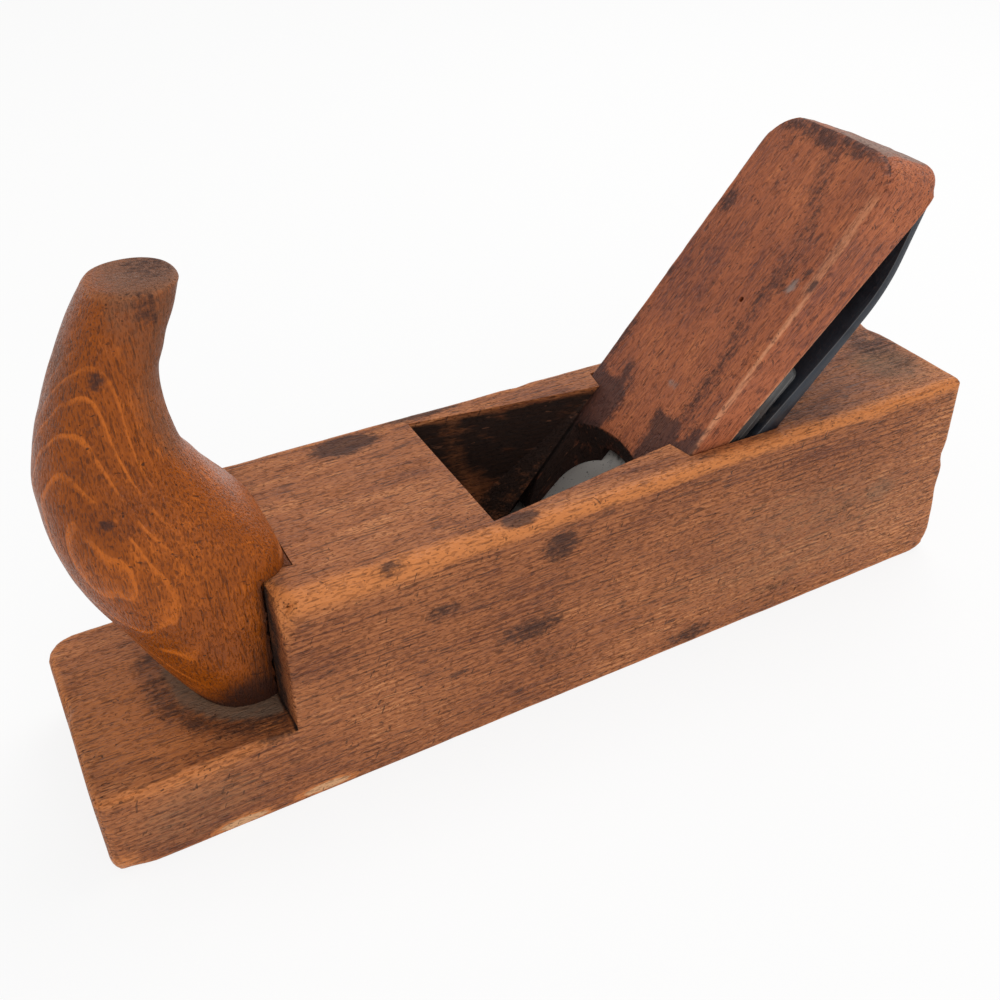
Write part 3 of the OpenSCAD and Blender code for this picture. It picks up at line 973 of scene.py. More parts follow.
@dataclass(frozen=True)
class Sweep:
    """A closed skin that a node tree lays round an axis, ring by ring.

    Its shape takes the tree, its sizes, and how far round and how far along a point is, each from 0 to 1.
    """

    name: str
    around: int
    rings: int
    weld: float
    sizes: dict[str, float]
    shape: Callable[[Graph, dict[str, Socket], Socket, Socket], tuple[Socket, Socket, Socket]]

    def inputs(self) -> dict[str, float | int]:
        """The tree's inputs by name."""
        return {**self.sizes, "Points around": self.around, "Rings": self.rings}

    def tree(self) -> bpy.types.NodeTree:
        """Builds the node tree.

        Returns:
            The tree, with a named input for each size.
        """
        tree = bpy.data.node_groups.new(self.name, "GeometryNodeTree")
        tree.interface.new_socket("Geometry", in_out="OUTPUT", socket_type="NodeSocketGeometry")
        for name, value in self.inputs().items():
            kind = "NodeSocketInt" if isinstance(value, int) else "NodeSocketFloat"
            tree.interface.new_socket(name, in_out="INPUT", socket_type=kind)
        graph = Graph(tree)
        ports = graph.add("NodeGroupInput").port.node.outputs
        sizes = {name: Socket(graph, ports[name]) for name in self.inputs()}
        grid = graph.add("GeometryNodeMeshGrid", None, {
            "Size X": 1.0, "Size Y": 1.0, "Vertices X": sizes["Points around"], "Vertices Y": sizes["Rings"]})
        across, along, _ = graph.parts(graph.add("GeometryNodeInputPosition"))
        place = graph.add("ShaderNodeCombineXYZ", None,
                          dict(enumerate(self.shape(graph, sizes, across + 0.5, along + 0.5))))
        skin = graph.add("GeometryNodeSetPosition", None, {"Geometry": grid, "Position": place})
        closed = graph.add("GeometryNodeMergeByDistance", None, {"Geometry": skin, "Distance": self.weld})
        real = graph.add("GeometryNodeRealizeInstances", None, {"Geometry": closed})
        blank = bpy.data.materials.new(f"{self.name}_blank")
        dressed = graph.add("GeometryNodeSetMaterial", None, {"Geometry": real, "Material": blank})
        graph.add("NodeGroupOutput", None, {0: dressed})
        return tree

    def mesh(self) -> bpy.types.Mesh:
        """Runs the tree.

        Returns:
            Its plain mesh.
        """
        holder = bpy.data.objects.new(self.name, bpy.data.meshes.new(self.name))
        bpy.context.scene.collection.objects.link(holder)
        modifier = holder.modifiers.new(self.name, "NODES")
        modifier.node_group = tree = self.tree()
        ports = {s.name: s.identifier for s in tree.interface.items_tree if s.in_out == "INPUT"}
        for name, value in self.inputs().items():
            modifier[ports[name]] = value
        view = bpy.context.evaluated_depsgraph_get()
        mesh = bpy.data.meshes.new_from_object(holder.evaluated_get(view))
        bpy.data.objects.remove(holder)
        return mesh


# ---- Pieces ----


class Side(Enum):
    """The outer faces of the stepped stock."""

    FRONT = 0
    HEEL = 1
    NEAR = 2
    FAR = 3
    SOLE = 4
    TOP = 5

    def outward(self) -> Vector:
        """The direction that the face looks in."""
        axis, high = divmod(self.value, 2)
        return Vector([(2 * high - 1) * (axis == i) for i in range(3)])


@dataclass(frozen=True)
class WornEdge:
    """How far one outer edge of the stock is rounded, and how pale it is rubbed, which also paints a highlight
    along it.
    """

    first: Side
    second: Side
    radius: float
    rub_and_highlight: float


@dataclass
class Stock:
    """The stepped beech stock with its throat, bed and the socket of the horn."""

    length: float = 240.0
    width: float = 58.5
    height: float = 58.0
    step_x: float = -76.0
    toe_height: float = 22.5
    slot_width: float = 48.2
    mouth_front: float = -7.6
    front_top: float = -23.5
    front_angle: float = 70.0
    abutment_x: float = 31.1
    abutment_angle: float = 48.0
    gap_top: float = 33.0
    gap_foot: float = 30.0
    foot_z: float = 24.0
    flare: float = 1.3
    groove_width: float = 19.0
    groove_depth: float = 6.0
    groove_start: float = 36.0
    neck_width: float = 30.6
    tail_width: float = 34.0
    socket_depth: float = 7.5
    pitch: float = 2.2
    fine: tuple[float, ...] = (0.35, 0.8, 1.4, 2.1, 3.0, 4.2)
    edge_reach: float = 14.0
    sharpest: float = 0.02
    foot_ring: Point2 = (17.0, 16.8)
    throat_ends: Point2 = (-24.5, 60.0)
    # Each edge's radius, and how pale it is rubbed; the pale rub also paints a highlight along the ridge
    edges: tuple[WornEdge, ...] = (
        WornEdge(Side.TOP, Side.NEAR, 3.0, 1.0), WornEdge(Side.TOP, Side.FAR, 2.3, 0.75),
        WornEdge(Side.SOLE, Side.NEAR, 0.9, 0.55), WornEdge(Side.SOLE, Side.FAR, 0.9, 0.45),
        WornEdge(Side.FRONT, Side.TOP, 1.7, 0.7), WornEdge(Side.FRONT, Side.SOLE, 2.0, 0.5),
        WornEdge(Side.HEEL, Side.NEAR, 1.8, 0.6), WornEdge(Side.HEEL, Side.FAR, 1.8, 0.5),
        WornEdge(Side.HEEL, Side.TOP, 2.0, 0.6),
    )
    bold: tuple[WornEdge, ...] = (
        WornEdge(Side.HEEL, Side.SOLE, 7.0, 0.3), WornEdge(Side.FRONT, Side.FAR, 7.5, 0.4),
        WornEdge(Side.FRONT, Side.NEAR, 2.6, 0.4),
    )
    blots: tuple[Blot, ...] = (
        *patches(Mark.STAIN,
                 (-41.5, 22.5, 58, 11, 5.5, 3, 1.4), (-19, 27.2, 58, 14, 2.5, 2, 1),
                 (-50.5, -27.5, 57, 5, 2.6, 3, 1), (-8.6, -29.2, 49.4, 6.5, 2, 6, 1),
                 (-18, -26.4, 58, 6, 3, 3, 1.4), (-12.6, -29.2, 15.6, 7, 2, 6, 0.5),
                 (-30.3, -29.2, 10.2, 4, 2, 3, 0.5), (31.9, -29.2, 3.8, 12, 2, 3.5, 0.8),
                 (-56.7, -29.2, 6.6, 2.5, 2, 2, 0.7), (84.7, -29.2, 24, 9, 2, 8, 0.35),
                 (-39, -29.2, 41, 7, 2, 4, 0.8), (-18, -29.2, 26.5, 13, 2, 5, 0.8),
                 (112, 0, 58, 12, 12, 4, 0.8), (96, 16, 58, 12, 7, 3, 0.55), (36, -26.5, 58, 6, 2, 2, 0.6),
                 (-81, -28.5, 22.5, 6, 1.6, 2, 0.8), (60.7, -29.2, 6.7, 9, 2, 4, 0.5),
                 (95, 29.2, 30, 14, 2, 8, 0.7), (-30, 29.2, 38, 10, 2, 5, 0.7), (20, 10, 0, 18, 9, 2, 0.6),
                 (120, 12, 36, 3, 9, 7, 0.7), (65, -20.5, 58, 7, 4, 2, 0.7),
                 (84.6, -17.2, 58, 3.5, 1.6, 2, 0.9), (111, -15, 58, 7, 4, 2, 0.6),
                 (-67.6, -29.2, 35.6, 3, 2, 1.6, 0.9), (-73.5, -20.5, 58, 3, 4, 2, 0.6)),
        # Pale rubs and splinters; the broad patch on the toe's top at (-104, -6) is painted light that lifts the
        # shade cast by the horn
        *patches(Mark.WEAR,
                 (-81, -24.5, 22.5, 4, 2.6, 1, 0.8), (-104, -6, 22.5, 24, 28, 1.5, 0.7),
                 (-100, -29.2, 13, 26, 2, 13, 0.4), (114, 2, 58, 3.5, 3, 2, 0.8),
                 (-91.5, -29.2, 1.6, 8.5, 2, 1.7, 2), (-71.5, -29.2, 2, 9, 2, 1.6, 2),
                 (-119, -28, 3, 6, 5, 3, 1.2), (-100, -29.2, 20.5, 16, 2, 1.6, 0.9)),
        # Grey dust; the patch on the heel's top at (108, -12) is also a painted sheen
        *patches(Mark.DUST,
                 (-100, -29.2, 11, 24, 2, 13, 0.4), (70, -29.2, 24, 60, 2, 26, 0.36),
                 (95, -29.2, 29, 9, 2, 7, 0.55), (108, -12, 58, 14, 16, 3, 0.6), (-30, 0, 0, 60, 24, 2, 0.4)),
    )
    dents: tuple[Dent, ...] = knocks(
        (-76, -29.2, 58, 5, 5, 6, 0.9, 0.9, -0.9), (-74.5, -29.2, 51, 2.5, 2.5, 3, 0.5, 0.7, 0),
        (120, -29.2, 33, 3.5, 3.5, 4.5, -0.6, 0.5, 0), (120, -29.2, 21, 3, 3, 6, -0.3, 0.2, 0),
        (-112, -29.2, 22.5, 7, 2.4, 2.6, 0, 0.7, -0.8), (-99, -29.2, 22.5, 5, 2, 2.2, 0, 0.6, -0.6),
        (-88, -29.2, 22.5, 6, 2.4, 2.4, 0, 0.8, -0.7), (-57, -28, 58, 4, 3, 3, 0, 0.3, -0.5),
        (-33, -28.5, 57.5, 3, 3, 3, 0, 0.3, -0.4), (21, -28, 58, 3, 2, 2, 0, 0.2, -0.5),
        (62, -28, 58, 4, 2.5, 2.5, 0, 0.3, -0.4), (120, 8, 58, 4, 5, 3, -0.5, 0, -0.5),
        (10, 29.2, 57.5, 4, 2.5, 2.5, 0, -0.5, -0.5), (-120, 4, 22.5, 3, 6, 2.5, 0.6, 0, -0.6))

    def front_wall(self, z: float) -> float:
        """Where the throat's front wall stands at a height."""
        return self.front_top + (self.height - z) / math.tan(math.radians(self.front_angle))

    def abutment(self, z: float) -> float:
        """Where the abutments stand at a height."""
        return self.abutment_x - (self.height - z) / math.tan(math.radians(self.abutment_angle))

    def end_z(self) -> float:
        """The height at which the abutments meet the front wall."""
        runs = (1 / math.tan(math.radians(a)) for a in (self.front_angle, self.abutment_angle))
        return self.height - (self.abutment_x - self.front_top) / sum(runs)

    def opening(self, z: float, gap: float) -> list[Point3]:
        """Four corners of the opening in front of the abutments at one height."""
        front, rear, wide = self.front_wall(z), self.abutment(z) + GAP, self.slot_width / 2
        return [(front, -wide, z), (rear, -gap / 2, z), (rear, gap / 2, z), (front, wide, z)]

    def cutters(self) -> list[Solid]:
        """The solids that are cut out of the block.

        Returns:
            The slot, the two halves of the opening, the flares, the groove and the socket.
        """
        over, under, end = self.height + 1, -1.0, self.end_z()
        slot = [(MOUTH_X + under, under), (MOUTH_X + over, over), (self.abutment(over), over),
                (self.abutment(end), end), (self.mouth_front, 0), (self.mouth_front, under)]
        made = [
            Solid.prism(slot, -self.slot_width / 2, self.slot_width / 2, ACROSS),
            Solid.hull(self.opening(over, self.gap_top) + self.opening(self.foot_z, self.gap_foot)),
            Solid.hull(self.opening(self.foot_z, self.gap_foot) + self.opening(end + 0.01, self.slot_width)),
        ]
        # The flares on the abutments' free edges, drawn along each abutment
        lean = math.radians(self.abutment_angle)
        run = (self.height - end) / math.sin(lean) - 3
        free, root, inside = self.gap_foot / 2 - 1, self.slot_width / 2 - 0.8, 0.5
        slope = self.flare * math.sin(lean) / (root - self.gap_top / 2)
        for side in (-1, 1):
            outline = [(side * (root + inside), -slope * inside), (side * free, slope * (root - free)),
                       (side * free, -1), (side * (root + inside), -1)]
            along = Matrix.Translation((self.abutment_x, 0, self.height)) @ Matrix.Rotation(-lean, 4, "Y")
            turn = Matrix(((0, 0, 1, 0), (1, 0, 0, 0), (0, 1, 0, 0), (0, 0, 0, 1)))
            made.append(Solid.prism(outline, -run, 2, along @ turn))
        # The groove in the bed for the screw's head
        half, start = self.groove_width / 2, self.groove_start + self.groove_width / 2
        arc = [(start - half * math.cos(a), -half * math.sin(a))
               for a in (math.pi * (k / 24 - 0.5) for k in range(25))]
        made.append(Solid.prism([*arc, (160.0, -half), (160.0, half)], -self.groove_depth, 1.0, BED))
        # The dovetailed socket of the horn
        neck, tail = self.neck_width / 2, self.tail_width / 2
        back = self.step_x + self.socket_depth
        socket = [(self.step_x - 1, -neck), (self.step_x, -neck), (back, -tail), (back, tail),
                  (self.step_x, neck), (self.step_x - 1, neck)]
        made.append(Solid.prism(socket, self.toe_height, over, Matrix()))
        return made

    def depths(self, place: Vector) -> dict[Side, float]:
        """How deep a place lies under each outer face that it can be near.

        Args:
            place: A point in or on the stock.

        Returns:
            The distances.
        """
        toe = place.x < self.step_x - SAME
        depths = {Side.HEEL: self.length / 2 - place.x, Side.SOLE: place.z,
                  Side.NEAR: place.y + self.width / 2, Side.FAR: self.width / 2 - place.y,
                  Side.TOP: (self.toe_height if toe else self.height) - place.z}
        if toe:
            depths[Side.FRONT] = place.x + self.length / 2
        elif place.z > self.toe_height:
            depths[Side.FRONT] = place.x - self.step_x
        return depths

    def edge_size(self, edge: WornEdge, place: Vector) -> tuple[float, float]:
        """Radius and rubbing of an edge beside a place, the rubbing also painting its highlight.

        Args:
            edge: The edge.
            place: A point near it.

        Returns:
            The two sizes.
        """
        radius, rub_and_highlight = edge.radius, edge.rub_and_highlight
        toe = place.x < self.step_x - SAME
        pair = (edge.first, edge.second)
        # The near top edge is rubbed most beside the throat, where the hand lies, and its painted highlight is
        # widest there
        if pair == (Side.TOP, Side.NEAR) and not toe:
            radius += 1.2 * ease(place.x, 5.0, -45.0)
            rub_and_highlight *= 0.95 + 0.1 * ease(place.x, 20.0, -50.0)
        # The toe's lower near corner is knocked off
        if pair in ((Side.SOLE, Side.NEAR), (Side.FRONT, Side.SOLE)):
            radius += 2.6 * ease(place.x, -110.0, -119.0) * ease(place.y, -18.0, -28.0)
        # The toe's upper edges run out sharp at the step
        if toe and Side.TOP in pair and Side.FRONT not in pair:
            radius = 1.5 * ease(place.x, self.step_x, self.step_x - 5) + 0.05
            rub_and_highlight = 0.75
        # The step's own edges are round only near its crest on the near side
        if not toe and Side.FRONT in pair:
            crest = ease(place.z, self.height - 16, self.height)
            near = ease(place.y, -12.0, -27.0)
            radius = 1.1 + (2.6 * crest * near if Side.TOP not in pair else 0.5 + 1.8 * near)
            radius *= ease(place.z, self.toe_height, self.toe_height + 4)
            rub_and_highlight = (0.1 + 0.9 * crest) * near if Side.TOP not in pair else 0.35 + 0.6 * near
        uneven = 1 + 0.18 * ripple(place, 8.0, 3.0) + 0.08 * ripple(place, 2.5, 9.0)
        return max(self.sharpest, radius * uneven), rub_and_highlight

    def turned_corner(self, place: Vector,
                      depths: dict[Side, float]) -> tuple[Vector, list[tuple[float, Vector]]]:
        """Bends the block's outline round its bold corners.

        Args:
            place: The point on the sharp block.
            depths: How deep it lies under the faces.

        Returns:
            Its place, and its depth and the way inwards for each direction that it can be rounded in.
        """
        moved = place.copy()
        ways: dict[Side, tuple[float, Vector]] = {}
        for low, high in ((Side.FRONT, Side.HEEL), (Side.NEAR, Side.FAR), (Side.SOLE, Side.TOP)):
            side = low if depths.get(low, math.inf) < depths.get(high, math.inf) else high
            ways[side] = (depths.get(side, math.inf), -side.outward())
        for edge in self.bold:
            if edge.first not in ways or edge.second not in ways:
                continue
            if edge.first is Side.FRONT and place.x > self.step_x - SAME:
                continue
            lacks = [edge.radius - ways[side][0] for side in (edge.first, edge.second)]
            if min(lacks) <= 0:
                del ways[edge.first if lacks[0] < lacks[1] else edge.second]
                continue
            lean = ways[edge.first][1] * lacks[0] + ways[edge.second][1] * lacks[1]
            moved += lean * (1 - max(lacks) / lean.length)
            del ways[edge.second]
            ways[edge.first] = (edge.radius - max(lacks), lean.normalized())
        return moved, list(ways.values())

    def rounding(self, place: Vector, depths: dict[Side, float]) -> tuple[float, float]:
        """How the edges beside a place are worn.

        Args:
            place: A point on the block.
            depths: How deep it lies under the faces.

        Returns:
            The radius of the rounding, where the nearest edge counts most, and how pale it is rubbed, with its
            painted highlight.
        """
        weight, radius, light = 0.0, 0.0, 0.0
        for edge in (*self.edges, *self.bold):
            pair = (edge.first, edge.second)
            if not all(side in depths for side in pair):
                continue
            far = math.hypot(*(depths[side] for side in pair))
            if far > self.edge_reach:
                continue
            size, strength = self.edge_size(edge, place)
            if edge in self.edges or (Side.FRONT in pair and place.x > self.step_x - SAME):
                share = 1 / (far + 0.15) ** 4
                weight, radius = weight + share, radius + share * size
            # Paler near each edge: rubbed wood and a painted highlight
            light = max(light, strength * ease(far, size * 1.25 + 0.9, size * 0.5))
        return radius / weight if weight else 0.0, light

    def calm(self, moved: Vector, depth: float) -> float:
        """How much of the faces' unevenness a place takes part in.

        Args:
            moved: The place once the edges are rounded.
            depth: Its height over the sole before that.

        Returns:
            A share from 0, where another piece seats, to 1.
        """
        share = 0.25 if moved.z < 0.4 else 1.0
        if moved.x < self.step_x + 0.1 and abs(moved.z - self.toe_height) < 0.1:
            share = 1 - ease(moved.x, -117.0, -111.0) * ease(abs(moved.y), 25.0, 20.0)
        if abs(moved.x - self.step_x) < 0.1 and abs(moved.y) < 24:
            share = 0.0
        return share * (0.4 + 0.15 * depth) if depth < 4 else share

    def worn(self, place: Vector) -> tuple[Vector, dict[Mark, float]]:
        """Wears one point of the surface.

        Args:
            place: The point on the sharp block.

        Returns:
            Its worn place and its marks.
        """
        depths = self.depths(place)
        inside = min(depths.values()) > ON_FACE
        radius, light = self.rounding(place, depths)
        marks = {} if inside else strongest(self.blots, place)
        marks[Mark.WEAR] = max(light, marks.get(Mark.WEAR, 0.0))
        if abs(place.z - self.toe_height) < 1.2 and place.x < self.step_x:
            # Dust and old wax in a ring round the horn's foot
            long, wide = self.foot_ring
            ring = math.hypot((place.x - self.step_x) / long, place.y / wide) + 0.05 * ripple(place, 5.0, 2.0)
            marks[Mark.DUST] = 1.1 * ease(ring, 1.42, 1.2)
            dim = 0.75 * ease(ring, 1.15, 1.35) * ease(ring, 1.85, 1.5)
            marks[Mark.STAIN] = max(marks.get(Mark.STAIN, 0.0), dim)
        below = min(self.height - place.z, place.z)
        first, last = self.throat_ends
        throat = abs(place.y) < self.slot_width / 2 + 0.3 and first < place.x < last
        # The throat and the faces inside the block are painted dark, grime with painted shade, less so on the cheek
        # walls in front of the abutments
        if inside or (throat and below > 0.05):
            cheek = ease(abs(place.y), 22.0, 23.5) * ease(self.abutment(place.z) - place.x, 1.0, 3.0)
            marks[Mark.SOOT] = ease(below, 0.0, 3.0) * (1 - 0.85 * cheek * ease(place.x, -18.0, -6.0))
            marks[Mark.WEAR] = 0.5 * ease(below, 1.0, 0.0)
            return place, marks
        moved, ways = self.turned_corner(place, depths)
        short = [(radius - depth, inward) for depth, inward in ways if depth < radius]
        size = math.hypot(*(lack for lack, _ in short))
        if len(short) > 1 and size > radius:
            for lack, inward in short:
                moved += inward * lack * (1 - radius / size)
        swell = 0.13 * ripple(place, 17.0, 1.0) + 0.05 * ripple(place, 4.0, 5.0) - 0.1
        swell *= self.calm(moved, depths[Side.SOLE])
        for side, depth in depths.items():
            if depth < ON_FACE:
                moved += side.outward() * swell
        # Painted shade on the step's face beside the horn, darker toward the middle
        if abs(place.x - self.step_x) < 0.5 and self.toe_height < place.z < self.height - 1:
            marks[Mark.SOOT] = 0.75 * ease(abs(place.y), 27.5, 22.0)
        for dent in self.dents:
            moved += dent.shift(place)
        return moved, marks

    def scattered_dents(self, seed: int, count: int) -> tuple[Dent, ...]:
        """Small knocks all over the outer faces.

        Args:
            seed: Fixes the places.
            count: How many there are.

        Returns:
            The knocks.
        """
        dice = random.Random(seed)
        made = []
        for _ in range(count):
            size, depth = dice.uniform(1.6, 3.6), dice.uniform(0.12, 0.32)
            x, z = dice.uniform(-72, 118), dice.uniform(7, 57)
            y = dice.uniform(-27, 27)
            at, push = dice.choice((
                ((x, -self.width / 2, z), (0.0, depth, 0.0)), ((x, self.width / 2, z), (0.0, -depth, 0.0)),
                ((x, y, self.height), (0.0, 0.0, -depth)), ((self.length / 2, y, z), (-depth, 0.0, 0.0))))
            made.append(Dent(at, (size * 1.3, size, size), push))
        return tuple(made)

    def build(self) -> Solid:
        """Builds the worn stock.

        Returns:
            The solid.
        """
        front, heel, half = -self.length / 2, self.length / 2, self.width / 2
        side = [(front, 0.0), (heel, 0.0), (heel, self.height), (self.step_x, self.height),
                (self.step_x, self.toe_height), (front, self.toe_height)]
        solid = Solid.prism(side, -half, half, ACROSS)
        for cutter in self.cutters():
            solid.combine(cutter)
        solid.melt_seams()
        solid.ease_edges(0.45, 2, lambda m: -25 < m.x < 60 and abs(m.y) < 25 and m.z > 1)
        self.dents += self.scattered_dents(11, 46)
        solid.slice_along((0, 0, 1), levels_between(0, self.height, self.pitch, self.fine)
                          | {self.toe_height - f for f in (0, *self.fine)} | {self.toe_height + 1.5})
        solid.slice_along((0, 1, 0), levels_between(-half, half, self.pitch, self.fine))
        solid.slice_along((1, 0, 0), levels_between(front, heel, self.pitch, self.fine)
                          | {self.step_x + f for f in self.fine} | {self.step_x - f for f in (1.0, 2.5, 4.0)}
                          | {self.step_x})
        return solid.wear(self.worn)

    def dress(self, solid: Solid) -> bpy.types.Object:
        """Gives the stock its wood.

        Args:
            solid: The worn stock.

        Returns:
            The piece.
        """
        wood = Beech("oiled_beech", (0.0, 0.0, 0.0), (-12.0, -95.0), tone(168, 102, 60), tone(104, 54, 30),
                     tone(212, 142, 92), tone(212, 130, 70), tone(118, 102, 86), ring_gap=1.5,
                     ring_depth=0.22, fleck_depth=0.7, rough=0.48, gloss=0.22)
        return solid.finish("stock", wood, "stock", "beech_stock", "plane_body")


@dataclass
class Horn:
    """The carved horn, lofted by a node tree, with its tongue in the step."""

    foot_z: float = 22.5
    end_z: float = 122.0
    end_lift: float = 0.9
    rings: int = 132
    around: int = 120
    step_x: float = -76.0
    stock_height: float = 58.0
    neck: float = 30.0
    tail: float = 33.4
    tongue_back: float = -68.8
    round_front: float = 2.2
    fronts: tuple[Point2, ...] = ((22.5, -93), (32, -98), (45, -104), (58, -109.8), (66, -111.9), (73, -112.9),
                                  (80, -113), (90, -111.2), (100, -107.5), (110, -102.6), (117, -98.6),
                                  (122, -95.1))
    rears: tuple[Point2, ...] = ((22.5, -68.5), (45, -68.5), (58, -68.5), (61, -69.0), (66, -71.3), (73, -75.8),
                                 (80, -79.9), (90, -84.2), (100, -85), (110, -82.6), (117, -79.4), (122, -77.6))
    halves: tuple[Point2, ...] = ((22.5, 16.8), (32, 18.6), (45, 19.6), (58, 20.2), (61, 20.1), (66, 19.6),
                                  (73, 18), (80, 15.8), (90, 13.1), (100, 11.6), (110, 10.8), (117, 10.2),
                                  (122, 9.3))
    squares: tuple[Point2, ...] = ((22.5, 2.3), (32, 2.3), (45, 3), (58, 4.5), (61, 4.3), (66, 3.6), (73, 2.9),
                                   (80, 2.4), (90, 2.2), (122, 2.2))
    touches: tuple[Blot | Fade, ...] = (
        *patches(Mark.STAIN, (-102.4, -15, 79.8, 2.2, 2, 2, 1), (-97.5, -10.1, 108, 2.4, 2, 3, 0.9),
                 (-86.3, -9.5, 119.5, 3.2, 3, 5, 0.75), (-103, -16, 63, 4, 3, 3, 0.5),
                 (-82.5, 1, 123, 7.5, 9.5, 1.2, 0.7)),
        # Dust; the grey on the horn's end is a painted sheen
        Fade(Mark.DUST, 0.9, ((2, 121.6, 122.6), (0, -96, -88))),
        Fade(Mark.DUST, 0.5, ((2, 96, 112), (0, -98, -103))),
        Fade(Mark.DUST, 0.7, ((1, -14, -8), (2, 78, 92), (0, -98, -90))),
        Fade(Mark.DUST, 0.45, ((1, 2, 9), (2, 60, 80))),
        Fade(Mark.DUST, 0.35, ((2, 50, 40), (0, -86, -80))),
        Fade(Mark.FIGURE, 1.0, ((0, -88, -97), (2, 118, 104), (1, 14, -4))),
        # Painted shade in the creases where the horn meets the toe and the step
        Fade(Mark.SOOT, 0.9, ((2, 28.5, 23),)),
        Fade(Mark.SOOT, 0.95, ((2, 39.5, 25.5), (0, -95, -84))),
        Fade(Mark.SOOT, 0.7, ((2, 52.5, 27.5), (0, -87, -77))),
        Fade(Mark.SOOT, 0.8, ((0, -79, -76), (2, 61, 56))),
    )

    def ring(self, graph: Graph, sizes: dict[str, Socket], share: Socket,
             way: Socket) -> tuple[Socket, Socket, Socket]:
        """Where a point of the horn's skin lies.

        Args:
            graph: The tree.
            sizes: The horn's foot, its end and the end's lift.
            share: How far round the point is.
            way: How far along the horn.

        Returns:
            Its place.
        """
        turn = share * (2 * math.pi)
        climb = graph.curve(way, ((0, 0), (0.03, 0), (0.91, 1), (1, 1)), Handle.STRAIGHT)
        crown = graph.curve(way, ((0, 0), (0.91, 0), (0.925, 0.42), (0.94, 0.76), (0.955, 0.95), (0.97, 1), (1, 1)))
        close = graph.curve(way, ((0, 0.0005), (0.03, 1), (0.91, 1), (0.925, 0.965), (0.94, 0.9), (0.955, 0.82),
                                  (1, 0.0005)), Handle.STRAIGHT)
        level = sizes["Foot"] + climb * (sizes["End"] - sizes["Foot"])
        front, rear, half, square = (graph.curve(level, line)
                                     for line in (self.fronts, self.rears, self.halves, self.squares))
        middle, depth = (front + rear) * 0.5, (rear - front) * 0.5
        behind = turn.cosine().rise(-0.001, 0.001)
        bend = 2.0 / (self.round_front + (square - self.round_front) * behind)
        return (middle + depth * close * turn.cosine().shaped(bend), half * close * turn.sine().shaped(bend),
                level + crown * sizes["End lift"])

    def worn(self, place: Vector) -> tuple[Vector, dict[Mark, float]]:
        """Wears one point of the horn.

        Args:
            place: The point.

        Returns:
            Its worn place and its marks.
        """
        seat = place.x > self.step_x - 0.5 and place.z < self.stock_height + 0.1
        moved = place.copy()
        out = place - Vector((-92.0, 0.0, place.z))
        if not seat and self.foot_z + 1 < place.z < self.end_z - 1 and out.length > 1:
            swell = 0.16 * ripple(place, 13.0, 2.0) + 0.05 * ripple(place, 4.0, 6.0) - 0.08
            moved += out.normalized() * swell
        if abs(place.x - self.step_x) < 0.05 and self.foot_z < place.z < self.stock_height:
            moved.x -= 0.55 * ease(abs(place.y), 15.5, 16.5)
        marks = strongest(self.touches, place)
        shoulder = 0.8 * ease(abs(place.z - 60.2), 1.5, 0.3) * ease(place.x, -72.0, -69.5)
        marks[Mark.WEAR] = shoulder + 0.55 * ease(abs(place.z - self.end_z - 0.2), 1.1, 0.2)
        return moved, marks

    def build(self) -> Solid:
        """Builds the horn.

        Returns:
            The solid.
        """
        sizes = {"Foot": self.foot_z, "End": self.end_z, "End lift": self.end_lift}
        solid = Solid(Sweep("horn_loft", self.around + 1, self.rings, 0.02, sizes, self.ring).mesh())
        step = [(self.step_x, 0.0), (-40.0, 0.0), (-40.0, self.stock_height), (self.step_x, self.stock_height)]
        solid.combine(Solid.prism(step, -40, 40, ACROSS))
        neck, tail = self.neck / 2, self.tail / 2
        tongue = [(self.step_x - 2, -neck), (self.step_x, -neck), (self.tongue_back, -tail),
                  (self.tongue_back, tail), (self.step_x, neck), (self.step_x - 2, neck)]
        solid.combine(Solid.prism(tongue, self.foot_z, self.stock_height, Matrix()), Cut.JOIN)
        return solid.wear(self.worn)

    def dress(self, solid: Solid) -> bpy.types.Object:
        """Gives the horn its wood.

        Args:
            solid: The horn.

        Returns:
            The piece.
        """
        # Its grime tone also paints the shade in the creases round its foot
        wood = Beech("handled_beech", (0.0, 90.0, 0.0), (32.0, 69.0), tone(150, 74, 12), tone(108, 50, 12),
                     tone(198, 104, 30), tone(196, 116, 62), tone(112, 80, 62), ring_gap=2.0, ring_depth=0.08,
                     ring_warp=4.0, streaks=0.7, fleck_depth=0.55, stroke=(0.9, 2.8), dark=tone(82, 38, 14),
                     grime_and_shade_tone=tone(52, 27, 18), grime_and_shade_patches=0.4, rough=0.32, gloss=0.2, battered=0.1, seed=40.0)
        return solid.finish("horn_grip", wood, "stock", "beech_horn", "horn", crease=38.0)


